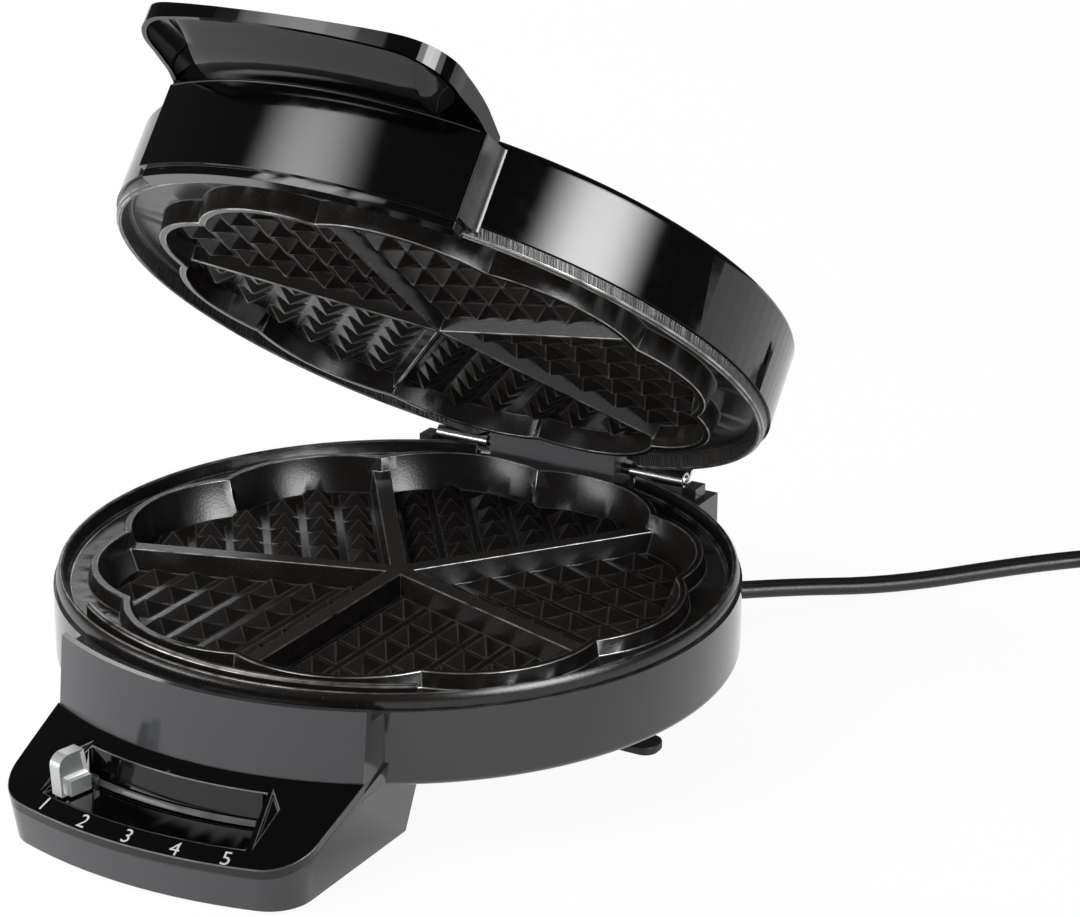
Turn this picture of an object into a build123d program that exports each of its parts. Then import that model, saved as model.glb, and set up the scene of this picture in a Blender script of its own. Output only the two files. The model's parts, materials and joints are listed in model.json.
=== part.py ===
from build123d import *
import math
import os

os.makedirs("parts", exist_ok=True)

# Heart waffle maker. Millimetres, +X right, +Y back, +Z up, table at zero.
# The drum axis is the Z axis until everything moves to its bounding box centre.

# Base housing
drum_radius = 98.2
wall = 2.2
drum_bottom = 21.0
drum_edge_fillet = 2.4
wall_top = 42.5
block_half_width = 48.7
block_depth = 7.3
block_top_radius = drum_radius + block_depth
block_top_rise = 3.3
block_top = wall_top + block_top_rise
block_lip = 1.8
block_flare = 1.9
block_foot_radius = block_top_radius + block_flare
block_foot = 26.6
ledge_thickness = 2.2
ledge_gap = 0.4
box_bottom = 1.0
box_narrowing = 3.3
box_half_width = block_half_width - box_narrowing
box_reach = 25.0
box_front_radius = block_foot_radius + box_reach
box_tuck = 28.2
box_rear = drum_radius - box_tuck
box_corner = 12.0
box_taper = 9.0
panel_reach = 27.4
panel_foot_radius = block_foot_radius + panel_reach
panel_foot = 13.3
deck_border = 6.0

# Control panel and its tray
panel_thickness = 2.6
tray_setback = 5.1
tray_inner_radius = block_foot_radius + tray_setback
tray_depth = 16.5
tray_outer_radius = tray_inner_radius + tray_depth
tray_half_angle = 14.4
tray_floor = 16.0
tray_wall = 1.5
slot_setback = 4.5
slot_radius = tray_inner_radius + slot_setback
slot_width = 2.8
slot_half_angle = 13.7
facet_depth = 1.2
facet_start = 0.7
facet_spread = 2.2

# Knob and lever
knob_fin = 3.9
knob_setback = 2.4
knob_rear_radius = slot_radius + knob_setback
knob_depth = 9.0
knob_front_radius = knob_rear_radius + knob_depth
knob_height = 11.6
knob_lift = 0.6
knob_corner = 3.4
knob_boss = 6.5
knob_boss_height = 4.4
knob_boss_setback = 2.0
lever_thickness = 1.2
lever_width = 8.0
lever_bottom = 24.2
lever_drop_gap = 3.0
lever_drop_radius = drum_radius + lever_drop_gap
lever_low = 12.0
stem_width = 4.4
stem_thickness = 2.0
tab_width = 3.4
tab_bite = 4.6
tab_reach = knob_rear_radius + tab_bite
tab_lift = 0.9
spindle_radius = 3.0
lever_travel = 24.4
lever_rest = lever_travel / 2
window_half_width = 32.0
window_height = 4.8

# Lower baking plate
cusp_setback = 17.1
cusp_radius = drum_radius - cusp_setback
lobe_setback = 11.7
lobe_radius = drum_radius - lobe_setback
trough_top = wall_top
plate_thickness = 2.5
well_depth = 6.5
well_floor = trough_top - well_depth
rim_rise = 4.5
rim_top = trough_top + rim_rise
rim_half = 1.0
rim_spread = 1.0
well_draft = 2.6
spoke_half = 2.5
spoke_draft = 0.9
plate_clear = 0.4
lip_reveal = 0.8
lip_outer = drum_radius - lip_reveal
lip_width = 3.9
lip_inner = lip_outer - lip_width
lip_crest_radius = lip_outer - 1.1
lip_rise = 4.6
lip_crest = trough_top + lip_rise
rib_gap = 1.2
rib_radius = lip_inner - rib_gap
rib_half = 1.0
rib_rise = 5.5
rib_top = trough_top + rib_rise
rib_half_angle = 35.0
heart_count = 5
twin_hearts = (0, 2)

# Pyramids of both plates
pyramid_pitch = 11.1
pyramid_height = 3.6
pyramid_gap_wide = 2.4
pyramid_gap_narrow = 1.2
pyramid_edge_margin = 2.0
pyramid_wall_bite = 0.5

# Plate posts and screws
post_radius = 3.6
post_setback = 23.2
post_ring = drum_radius - post_setback
screw_radius = 1.5
screw_head_radius = 2.9
screw_head_height = 1.8
screw_depth = 8.0
screw_fit = 0.05
hole_clear = 0.25

# Heating elements, shields, thermostat
element_ring = 55.0
element_tube = 3.25
element_sweep = 316.0
element_leg = 10.0
shield_gap = 10.2
shield_radius = drum_radius - shield_gap
shield_thickness = 0.6
shield_rise = 2.6
shield_hole = 20.0
thermostat_radius = 11.0
thermostat_height = 6.6
fuse_radius = 3.0
fuse_length = 16.0
fuse_place = 30.0

# Hinge
hinge_inset = 3.8
hinge_y = drum_radius - hinge_inset
hinge_z = 47.3
pin_radius = 1.65
pin_half_length = 43.8
pin_fit = 0.05
knuckle_wall = 0.8
knuckle_inner_x = 25.4
knuckle_outer_x = 43.6
leaf_top = 60.0
hinge_block_half = 22.0
hinge_block_front = hinge_y - 5.8
hinge_block_rear = hinge_y + 7.3
hinge_block_base = 36.0
hinge_block_top = 53.8
hinge_round = 8.8
lid_notch_round = 9.6
notch_half = 23.0
knuckle_groove = 3.2
ledge_half = 24.0
ledge_front = hinge_block_front - 2.0
ledge_bottom = 30.0
shroud_half = 51.0
plate_chord = hinge_block_front - 0.4
plate_chord_half = 28.0
lug_inner = 44.4
lug_outer = 49.0
lug_front = hinge_y - 3.9
lug_rear = hinge_y + 2.6
lug_top = 46.6
lid_rest = 38.9

# Lid
lid_wall_bottom = 51.5
lid_seam = 73.2
nose_overhang = 0.9
lid_half_width = block_half_width + nose_overhang
nose_bottom = 48.8
strip_bottom = 46.4
strip_inner = drum_radius + 0.2
strip_outer = block_top_radius - 1.9
cover_edge = 75.6
cover_crown = 78.4
cover_edge_radius = 2.4
hood_reach = 26.0
hood_front = block_top_radius + hood_reach
hood_front_radius = 150.0
hood_narrowing = 2.1
hood_half_width = lid_half_width - hood_narrowing
hood_corner = 18.0
hood_wall = 2.6
boss_outer_x = 44.0
boss_inner_x = 25.0

# Upper baking plate
upper_scale = 0.954
upper_trough = 52.8
upper_rim = 46.0
upper_lip_width = 3.4
upper_lip_inner = lip_outer - upper_lip_width
upper_lip_crest = 47.5
ridge_height = 4.2
ridge_foot = 2.2
ridge_tip = 0.5
upper_post_setback = 28.2
upper_post_ring = drum_radius - upper_post_setback
upper_post_top = 64.0
upper_shield_gap = 14.2
upper_shield_radius = drum_radius - upper_shield_gap
lamp_x = 12.0
lamp_y = 66.0
lamp_radius = 3.2

# Feet, hooks and rear pedestal
hook_inner = 62.0
hook_outer = 80.0
hook_front = 4.5
hook_depth = 10.0
hook_flange = 2.6
hook_web = 3.0
foot_radius = 6.0
foot_seat = 2.0
front_foot_x = 34.0
front_foot_setback = 20.4
front_foot_y = box_front_radius - front_foot_setback
pedestal_half = 32.0
pedestal_setback = 8.2
pedestal_rear = drum_radius - pedestal_setback
pedestal_depth = 28.0
pedestal_front = pedestal_rear - pedestal_depth
cover_thickness = 2.0
cover_clear = 0.3

# Cord, coil and plug
cord_diameter = 6.8
gland_length = 28.0
gland_collar = 3.0
gland_tip_radius = 4.2
gland_radius = 5.4
gland_bite = 2.0
pedestal_chamfer = 14.0
cord_height = 7.6
cord_floor_clear = 0.02
coil_gap = 0.9
cord_sides = 8
coil_inner_radius = 33.6
plug_pin_spacing = 19.0
plug_pin_radius = 2.4
plug_pin_length = 19.0
plug_half_width = 17.5
plug_floor_clear = 0.05
plug_length = 46.0
plug_tail = 10.0
plug_tail_half = 4.0


def box(x0, x1, y0, y1, z0, z1):
    return Pos((x0 + x1) / 2, (y0 + y1) / 2, (z0 + z1) / 2) * Box(x1 - x0, y1 - y0, z1 - z0)


def drum(radius, z0, z1):
    return Pos(0, 0, (z0 + z1) / 2) * Cylinder(radius, z1 - z0)


def at(x, y, z, radius, height):
    return Pos(x, y, z + height / 2) * Cylinder(radius, height)


def turned(points, angle=360.0, start=0.0):
    face = Plane.XZ * make_face(Polyline(*points, close=True))
    return revolve(Rot(0, 0, start) * face, axis=Axis.Z, revolution_arc=angle)


def front_sector(half_angle, reach):
    side = reach * math.tan(math.radians(half_angle))
    return make_face(Polyline((0, 0), (side, -reach), (-side, -reach), close=True))


def along_x(profile_yz, half_width):
    face = Plane.YZ * make_face(Polyline(*profile_yz, close=True))
    return extrude(Pos(-half_width, 0, 0) * face, amount=2 * half_width)


def polar(radius, degrees):
    a = math.radians(degrees)
    return (radius * math.cos(a), radius * math.sin(a))


# Scalloped heart outline: ten equal arcs between cusps.
half_step = 180.0 / heart_count / 2


def lobe(scale, inset):
    cusp = cusp_radius * scale
    mid = lobe_radius * scale
    d = (mid**2 - cusp**2) / (2 * (mid - cusp * math.cos(math.radians(half_step))))
    return d, mid - d - inset


def lobe_reach(scale, inset, shift):
    d, r = lobe(scale, inset)
    across = d * math.sin(math.radians(half_step)) - shift
    return d * math.cos(math.radians(half_step)) + math.sqrt(r**2 - across**2)


def scallop(scale, inset):
    d, r = lobe(scale, inset)
    tip = lobe_reach(scale, inset, 0)
    arcs = []
    for i in range(2 * heart_count):
        a = 90.0 + i * 2 * half_step
        arcs.append(ThreePointArc(polar(tip, a), polar(d + r, a + half_step), polar(tip, a + 2 * half_step)))
    return make_face(arcs)


def heart(inset, shift):
    # One heart well, its cleft on +X, between two spokes.
    d, r = lobe(1.0, inset)
    spoke = 2 * half_step
    reach = lobe_reach(1.0, inset, shift)
    apex = (shift / math.sin(math.radians(spoke)), 0)
    ux, uy = polar(1, spoke)
    upper = (reach * ux + shift * uy, reach * uy - shift * ux)
    lower = (upper[0], -upper[1])
    cleft = (lobe_reach(1.0, inset, 0), 0)
    crown = polar(d + r, half_step)
    edges = [
        Line(apex, lower),
        ThreePointArc(lower, (crown[0], -crown[1]), cleft),
        ThreePointArc(cleft, crown, upper),
        Line(upper, apex),
    ]
    return make_face(edges)


def lifted(face, z):
    return Pos(0, 0, z) * face


def pyramid_seats(scale, edge_inset, shift):
    # Centres on a rhombic grid whose sides follow the two spokes.
    spoke = 2 * half_step
    side = pyramid_pitch / math.sin(math.radians(2 * spoke))
    first = shift + pyramid_pitch / 2
    d, r = lobe(scale, edge_inset)
    seats = []
    for i in range(12):
        for j in range(12):
            du = (first + i * pyramid_pitch) / math.sin(math.radians(2 * spoke))
            dv = (first + j * pyramid_pitch) / math.sin(math.radians(2 * spoke))
            ax, ay = polar(du, spoke)
            bx, by = polar(dv, -spoke)
            x, y = ax + bx, ay + by
            cx, cy = polar(d, half_step if y >= 0 else -half_step)
            if math.hypot(x - cx, y - cy) < r or x < d:
                seats.append((x, y))
    return seats


def pyramid():
    spoke = 2 * half_step
    lean = math.sin(math.radians(2 * spoke))
    wide = (pyramid_pitch - pyramid_gap_wide) / lean / 2
    narrow = (pyramid_pitch - pyramid_gap_narrow) / lean / 2
    ux, uy = polar(1, spoke)

    def rhomb(a, b):
        corners = [(a + b, a - b), (a - b, a + b), (-a - b, b - a), (b - a, -a - b)]
        return make_face(Polyline(*[(p * ux, q * uy) for p, q in corners], close=True))

    return loft([rhomb(wide, narrow), Vertex(0, 0, pyramid_height)], ruled=True)


heart_angles = [90.0 + 2 * half_step * (2 * k) for k in range(heart_count)]
spoke_angles = [a + 2 * half_step for a in heart_angles]
nodes = {}

# Base housing
drum_shell = drum(drum_radius, drum_bottom, wall_top)
drum_shell = fillet(drum_shell.edges().group_by(Axis.Z)[0], drum_edge_fillet)
block = turned([(0, drum_bottom), (block_foot_radius, drum_bottom), (block_foot_radius, block_foot),
                (block_top_radius, block_top), (0, block_top)])
block &= box(-block_half_width, block_half_width, -2 * block_top_radius, -box_rear, drum_bottom, block_top)
slope = (block_foot - panel_foot) / (panel_foot_radius - block_foot_radius)


def slope_z(radius):
    return block_foot - slope * (radius - block_foot_radius)


def slope_body(drop, far, floor):
    # Solid below the panel slope, lowered by a vertical drop.
    return turned([(0, floor), (far, floor), (far, slope_z(far) - drop), (0, slope_z(0) - drop)])


def box_plan(inset):
    r = box_front_radius - inset
    x = box_half_width - inset
    y = math.sqrt(r**2 - x**2)
    rear = -box_rear - inset
    face = make_face([Line((-x, rear), (x, rear)), Line((x, rear), (x, -y)),
                      ThreePointArc((x, -y), (0, -r), (-x, -y)), Line((-x, -y), (-x, rear))])
    front = face.vertices().sort_by(Axis.Y)[0:2]
    return fillet(front, box_corner - inset)


panel_drop = panel_thickness * math.sqrt(1 + slope**2)
deck_drop = panel_drop + wall * math.sqrt(1 + slope**2)
far = panel_foot_radius + 20
box_height = block_foot + 6 - box_bottom


def box_prism(inset, z0):
    body = extrude(lifted(box_plan(inset), box_bottom), amount=box_height, taper=-box_taper)
    return body & box(-far, far, -far, 0, z0, box_bottom + box_height)


box_body = box_prism(0, box_bottom) & slope_body(panel_drop, far, box_bottom)
box_hollow = box_prism(wall, box_bottom) & slope_body(deck_drop, far, box_bottom)
box_window = box_prism(deck_border, block_foot - 20) - drum(block_foot_radius + wall, 0, far)
floor_top = drum_bottom + wall
inner_radius = drum_radius - wall
block_hollow = turned([(drum_radius, drum_bottom - 1), (block_foot_radius - wall, drum_bottom - 1),
                       (block_foot_radius - wall, block_foot), (block_top_radius - wall, wall_top - ledge_thickness),
                       (drum_radius, wall_top - ledge_thickness)])
block_hollow &= box(-block_half_width + wall, block_half_width - wall, -far, -box_rear, 0, far)
shroud_top = wall_top
shroud = box(-shroud_half, shroud_half, ledge_front, hinge_block_rear, ledge_bottom, shroud_top)
shroud -= box(-shroud_half + wall, shroud_half - wall, 0, hinge_block_rear - wall, 0, shroud_top - wall)
rear_ledge = box(-ledge_half, ledge_half, ledge_front, hinge_block_rear, ledge_bottom, hinge_block_base)
housing = drum_shell + block + box_body
housing -= drum(inner_radius, floor_top, far)
housing -= box_hollow - drum(drum_radius, drum_bottom, far)
housing -= block_hollow
housing -= box_window - drum(drum_radius, drum_bottom, far)
housing -= drum(block_top_radius - block_lip, wall_top, far)
housing += shroud - drum(inner_radius, 0, far)
housing += rear_ledge
hinge_recess = box(-hinge_block_half - cover_clear, hinge_block_half + cover_clear, hinge_block_front - 6,
                   far, hinge_block_base, far)
housing -= hinge_recess
for side in (-1, 1):
    xs = sorted((side * lug_inner, side * lug_outer))
    housing += box(xs[0], xs[1], lug_front, lug_rear, shroud_top, lug_top)
housing -= box(-window_half_width, window_half_width, -drum_radius - 1, -inner_radius + 12,
               floor_top, floor_top + window_height)
post_angles = [a for a in spoke_angles if abs(math.cos(math.radians(a))) > 0.1 or math.sin(math.radians(a)) > 0]
for a in post_angles:
    x, y = polar(post_ring, a)
    housing -= at(x, y, drum_bottom, screw_radius + hole_clear, wall)
nodes["base_housing"] = housing

# Cover below the control box
cover_plan = box_plan(wall + cover_clear)
box_cover = extrude(lifted(cover_plan, box_bottom), amount=cover_thickness)
nodes["box_cover"] = box_cover

# Control panel
panel = box_prism(0, box_bottom) & slope_body(0, far, box_bottom)
panel -= slope_body(panel_drop, far, box_bottom - 1)
panel -= drum(block_foot_radius + 0.02, 0, far)
sector = extrude(lifted(front_sector(tray_half_angle, far), 0), amount=far)
tray_inside = sector & (drum(tray_outer_radius, tray_floor, far) - drum(tray_inner_radius, 0, far))
tray_skin = extrude(lifted(front_sector(tray_half_angle + 0.8, far), 0), amount=far)
tray_skin &= drum(tray_outer_radius + 0.6, tray_floor - tray_wall, far) - drum(tray_inner_radius - tray_wall, 0, far)
tray_skin &= slope_body(0.6, far, box_bottom)
slot_sector = extrude(lifted(front_sector(slot_half_angle, far), 0), amount=far)
slot_cut = slot_sector & (drum(slot_radius + slot_width / 2, 0, far) - drum(slot_radius - slot_width / 2, 0, far))
panel = panel + tray_skin - tray_inside - slot_cut
facet_corners = [(tray_inner_radius - 0.6, facet_start), (tray_inner_radius + 4.0, facet_spread),
                 (tray_outer_radius - 2.0, facet_start + 0.1)]
for side in (-1, 1):
    corners = [polar(r, -90 + side * (tray_half_angle + a)) for r, a in facet_corners]
    pocket = extrude(lifted(make_face(Polyline(*corners, close=True)), 0), amount=far)
    panel -= pocket - slope_body(facet_depth, far, -1)
nodes["control_panel"] = panel

# Lever, spindle and knob, drawn on -Y and turned to position one
knob_bottom = tray_floor + knob_lift
knob_top = knob_bottom + knob_height
tab_bottom = knob_bottom + tab_lift
tab_top = tab_bottom + lever_thickness
lever = at(0, 0, lever_bottom, lever_width * 0.8, lever_thickness)
lever += box(-lever_width / 2, lever_width / 2, -lever_drop_radius, 0, lever_bottom, lever_bottom + lever_thickness)
lever += box(-lever_width / 2, lever_width / 2, -lever_drop_radius, -lever_drop_radius + lever_thickness,
             lever_low, lever_bottom + lever_thickness)
lever += box(-lever_width / 2, lever_width / 2, -slot_radius - 4, -lever_drop_radius + lever_thickness,
             lever_low, lever_low + lever_thickness)
lever += box(-stem_width / 2, stem_width / 2, -slot_radius - stem_thickness / 2, -slot_radius + stem_thickness / 2,
             lever_low, tab_top)
lever += box(-tab_width / 2, tab_width / 2, -tab_reach, -slot_radius, tab_bottom, tab_top)
spindle_hole = at(0, 0, 0, spindle_radius, far)
lever -= spindle_hole
nodes["lever_arm"] = lever
spindle = at(0, 0, floor_top + 0.2, spindle_radius, well_floor - plate_thickness - thermostat_height / 2 - floor_top)
nodes["thermostat_spindle"] = spindle
knob_fin_body = along_x([(-knob_rear_radius, knob_bottom), (-knob_front_radius, knob_bottom),
                         (-knob_front_radius - 0.8, knob_top), (-knob_rear_radius - 1.2, knob_top),
                         (-knob_rear_radius + 0.6, knob_bottom + 3.0)], knob_fin / 2)
knob_fin_body = fillet(knob_fin_body.edges().group_by(Axis.Z)[-1].sort_by(Axis.Y)[0], knob_corner)
knob = knob_fin_body + box(-knob_boss / 2, knob_boss / 2, -knob_front_radius + knob_boss_setback, -knob_rear_radius,
                           knob_bottom, knob_bottom + knob_boss_height)
knob_socket = box(-tab_width / 2 - screw_fit, tab_width / 2 + screw_fit, -tab_reach - screw_fit, 0,
                  tab_bottom - screw_fit, tab_top + screw_fit)
nodes["temperature_knob"] = knob - knob_socket
for name in ("lever_arm", "temperature_knob", "thermostat_spindle"):
    nodes[name] = Rot(0, 0, -lever_rest) * nodes[name]

# Lower baking plate
well_under = well_floor - plate_thickness
lip_profile = [(0, trough_top - plate_thickness), (inner_radius - plate_clear, trough_top - plate_thickness),
               (inner_radius - plate_clear, trough_top), (lip_outer, trough_top), (lip_outer, trough_top + 2.0),
               (lip_outer - 0.4, trough_top + 3.7), (lip_crest_radius, lip_crest), (lip_crest_radius - 0.9, lip_crest - 0.2),
               (lip_inner + 0.7, trough_top + 0.6), (lip_inner, trough_top), (0, trough_top)]
rim_low = -rim_half - rim_spread
plate = turned(lip_profile)
plate += extrude(lifted(scallop(1.0, rim_low), well_under), amount=trough_top - well_under)
plate += loft([lifted(scallop(1.0, rim_low), trough_top), lifted(scallop(1.0, -rim_half), rim_top)], ruled=True)
well_top_inset = rim_half + rim_spread
plate -= loft([lifted(scallop(1.0, well_top_inset), trough_top), lifted(scallop(1.0, rim_half), rim_top)], ruled=True)
well_cut = loft([lifted(heart(well_top_inset + well_draft, spoke_half + spoke_draft), well_floor),
                 lifted(heart(well_top_inset, spoke_half), trough_top)], ruled=True)
seats = pyramid_seats(1.0, well_top_inset + well_draft + pyramid_edge_margin, spoke_half + spoke_draft)
bite = pyramid_wall_bite
well_keep = loft([lifted(heart(well_top_inset + well_draft - bite, spoke_half + spoke_draft - bite), well_floor - 0.2),
                  lifted(heart(well_top_inset - bite, spoke_half - bite), trough_top)], ruled=True)
one_pyramid = pyramid()
heart_pyramids = [(Pos(x, y, well_floor) * one_pyramid) & well_keep for x, y in seats]
twin_pyramids = [mirror(p, about=Plane.XZ) for p in heart_pyramids]
plate_solid = plate
for a in heart_angles:
    plate_solid -= Rot(0, 0, a) * well_cut
all_pyramids = [Rot(0, 0, a) * p for k, a in enumerate(heart_angles) for p in (twin_pyramids if k in twin_hearts else heart_pyramids)]
plate_solid += all_pyramids
bead = turned([(rib_radius - rib_half, trough_top - 0.5), (rib_radius + rib_half, trough_top - 0.5),
               (rib_radius + rib_half, rib_top - 0.6), (rib_radius + 0.4, rib_top), (rib_radius - 0.4, rib_top),
               (rib_radius - rib_half, rib_top - 0.6)], 2 * rib_half_angle, -90 - rib_half_angle)
plate_solid += bead
for a in post_angles:
    x, y = polar(post_ring, a)
    plate_solid += at(x, y, floor_top, post_radius, well_under - floor_top)
    plate_solid -= at(x, y, floor_top, screw_radius + screw_fit, screw_depth)
chord_cut = box(-plate_chord_half, plate_chord_half, plate_chord, far, 0, far)
groove = Pos(0, hinge_y, hinge_z) * Rot(0, 90, 0) * Cylinder(knuckle_groove, 2 * (knuckle_outer_x + 1.0))
plate_solid -= chord_cut
plate_solid -= groove
nodes["lower_plate"] = plate_solid

plate_screws = []
for a in post_angles:
    x, y = polar(post_ring, a)
    plate_screws.append(at(x, y, drum_bottom, screw_radius, wall + screw_depth - 1)
                        + at(x, y, drum_bottom - screw_head_height, screw_head_radius, screw_head_height))
nodes["lower_plate_screws"] = plate_screws


def heating_element(z):
    # Ring with a gap at the rear, its two ends run straight to the terminals.
    start = 90.0 + (360.0 - element_sweep) / 2
    circle = Plane.XZ * (Pos(element_ring, 0) * Circle(element_tube))
    ring = revolve(Rot(0, 0, start) * circle, axis=Axis.Z, revolution_arc=element_sweep)
    for a, way in ((start, -1), (start + element_sweep, 1)):
        x, y = polar(element_ring, a)
        tangent = Vector(*polar(way, a + 90), 0)
        ring += extrude(Plane(Vector(x, y, 0), z_dir=tangent) * Circle(element_tube), amount=element_leg)
        tip = Vector(x, y, 0) + tangent * element_leg
        ring += extrude(Plane(tip, z_dir=tangent) * Circle(element_tube * 0.4), amount=element_leg * 0.6)
    return Pos(0, 0, z) * ring


nodes["lower_element"] = heating_element(well_under - element_tube)

shield_top = floor_top + shield_rise + shield_thickness
shield = drum(shield_radius, shield_top - shield_thickness, shield_top)
shield += drum(shield_radius, floor_top, shield_top) - drum(shield_radius - shield_thickness, 0, far)
shield -= drum(shield_hole, 0, far)
shield -= box(-window_half_width - 1, window_half_width + 1, -far, -box_rear, 0, shield_top - shield_thickness)
for a in post_angles:
    x, y = polar(post_ring, a)
    shield -= at(x, y, 0, post_radius + hole_clear, far)
nodes["lower_heat_shield"] = shield

thermostat = at(0, 0, well_under - thermostat_height, thermostat_radius, thermostat_height)
thermostat -= at(0, 0, 0, spindle_radius + screw_fit, spindle.bounding_box().max.Z + 0.1)
thermostat += box(thermostat_radius - 0.5, thermostat_radius + 6, -3, 3, well_under - 2.4, well_under - 1.6)
thermostat += box(-thermostat_radius - 6, -thermostat_radius + 0.5, -3, 3, well_under - 2.4, well_under - 1.6)
nodes["thermostat_body"] = thermostat
fuse = Pos(fuse_place, 0, well_under - fuse_radius) * Rot(90, 0, 0) * Cylinder(fuse_radius, fuse_length)
nodes["thermal_fuse"] = fuse

# Hinge block, pin and its screws
block_side = along_x([(hinge_block_front, hinge_block_base), (hinge_block_rear, hinge_block_base),
                      (hinge_block_rear, hinge_block_top), (hinge_block_front, hinge_block_top)], hinge_block_half)
hinge_axis_place = Pos(0, hinge_y, hinge_z) * Rot(0, 90, 0)
rounding = hinge_axis_place * Cylinder(hinge_round, 2 * hinge_block_half)
rounding += box(-hinge_block_half, hinge_block_half, 0, far, 0, hinge_z)
hinge_block = block_side & rounding
hinge_block -= hinge_axis_place * Cylinder(pin_radius + pin_fit, 3 * hinge_block_half)
nodes["hinge_block"] = hinge_block
pin = hinge_axis_place * Cylinder(pin_radius, 2 * pin_half_length)
pin = chamfer(pin.edges(), pin_radius * 0.4)
nodes["hinge_pin"] = pin

# Lid ring, closed
lid_ring = drum(drum_radius, lid_wall_bottom, lid_seam) - drum(inner_radius, 0, far)
nose = drum(block_top_radius, nose_bottom, lid_seam) - drum(drum_radius - 1, 0, far)
nose &= box(-lid_half_width, lid_half_width, -far, -box_rear, 0, far)
nose_hollow = drum(block_top_radius - wall, nose_bottom + wall, far) - drum(drum_radius, 0, far)
nose_hollow &= box(-lid_half_width + wall, lid_half_width - wall, -far, -box_rear, 0, far)
strip = drum(strip_outer, strip_bottom, nose_bottom + 0.5) - drum(strip_inner, 0, far)
strip &= box(-lid_half_width + 1, lid_half_width - 1, -far, -box_rear, 0, far)
lid_ring = lid_ring + nose - nose_hollow + strip
lid_ring -= drum(inner_radius, 0, far)
lid_ring -= drum(lip_outer + ledge_gap, 0, lid_wall_bottom)
leaf_front = hinge_y + pin_radius + pin_fit
boss = box(-boss_outer_x, boss_outer_x, box_rear, leaf_front, lid_wall_bottom, leaf_top)
boss -= box(-boss_inner_x, boss_inner_x, 0, far, 0, far)
boss -= drum(inner_radius + wall / 2, 0, far)
lid_ring += boss
lid_notch = Pos(0, hinge_y, hinge_z) * Rot(0, 90, 0) * Cylinder(lid_notch_round, 2 * notch_half)
lid_ring -= lid_notch
leaf_screw_x = [side * (knuckle_inner_x + (knuckle_outer_x - knuckle_inner_x) * t) for side in (-1, 1) for t in (0.28, 0.72)]
leaf_screw_z = leaf_top - 4.0


def along_y(x, y0, y1, z, radius):
    return Pos(x, (y0 + y1) / 2, z) * Rot(90, 0, 0) * Cylinder(radius, y1 - y0)


for x in leaf_screw_x:
    lid_ring -= along_y(x, leaf_front - 3.5, leaf_front + 1, leaf_screw_z, screw_radius * 0.6 + screw_fit)
nodes["lid_ring"] = lid_ring

leaf_rear = leaf_front + knuckle_wall
leaves = []
for side in (-1, 1):
    xs = sorted((side * knuckle_inner_x, side * knuckle_outer_x))
    knuckle = Pos(sum(xs) / 2, hinge_y, hinge_z) * Rot(0, 90, 0) * Cylinder(pin_radius + pin_fit + knuckle_wall, xs[1] - xs[0])
    leaf = knuckle + box(xs[0], xs[1], leaf_front, leaf_rear, hinge_z, leaf_top)
    leaf -= Pos(sum(xs) / 2, hinge_y, hinge_z) * Rot(0, 90, 0) * Cylinder(pin_radius + pin_fit, far)
    for x in leaf_screw_x:
        leaf -= along_y(x, leaf_front - 1, leaf_rear + 1, leaf_screw_z, screw_radius * 0.6 + hole_clear)
    leaves.append(leaf)
nodes["hinge_leaves"] = leaves
nodes["hinge_leaf_screws"] = [along_y(x, leaf_front - 3.0, leaf_rear, leaf_screw_z, screw_radius * 0.6)
                              + along_y(x, leaf_rear, leaf_rear + 0.9, leaf_screw_z, screw_radius * 1.2)
                              for x in leaf_screw_x]

# Lid cover with the hooded handle
cover_outer = turned([(0, lid_seam), (drum_radius, lid_seam), (drum_radius, lid_seam + 0.6),
                      (drum_radius - 0.7, lid_seam + 1.6), (drum_radius - cover_edge_radius, cover_edge),
                      (drum_radius * 0.7, cover_edge + 1.4), (drum_radius * 0.35, cover_crown), (0, cover_crown)])
cover_inner = turned([(0, lid_seam - 1), (inner_radius, lid_seam - 1), (inner_radius, lid_seam + 0.6),
                      (inner_radius - 2, cover_edge - wall + 0.2), (drum_radius * 0.7, cover_edge + 1.4 - wall),
                      (drum_radius * 0.35, cover_crown - wall), (0, cover_crown - wall)])
plan_y = -math.sqrt(drum_radius**2 - lid_half_width**2)
side_y = -block_top_radius - 2.5
arc_drop = hood_front_radius - math.sqrt(hood_front_radius**2 - hood_half_width**2)


def hood_plan(inset, rear_y):
    w = lid_half_width - inset
    f = hood_half_width - inset
    face = make_face([Line((-w, rear_y), (w, rear_y)), Line((w, rear_y), (f, side_y)),
                      Line((f, side_y), (f, -hood_front + arc_drop + inset)),
                      ThreePointArc((f, -hood_front + arc_drop + inset), (0, -hood_front + inset),
                                    (-f, -hood_front + arc_drop + inset)),
                      Line((-f, -hood_front + arc_drop + inset), (-f, side_y)), Line((-f, side_y), (-w, rear_y))])
    front = face.vertices().sort_by(Axis.Y)[0:2]
    return fillet(front, hood_corner - inset)


def hood_profile(points):
    # Distance behind the front edge and rise above the seam.
    return [(behind - hood_front, lid_seam + rise) for behind, rise in points]


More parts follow.
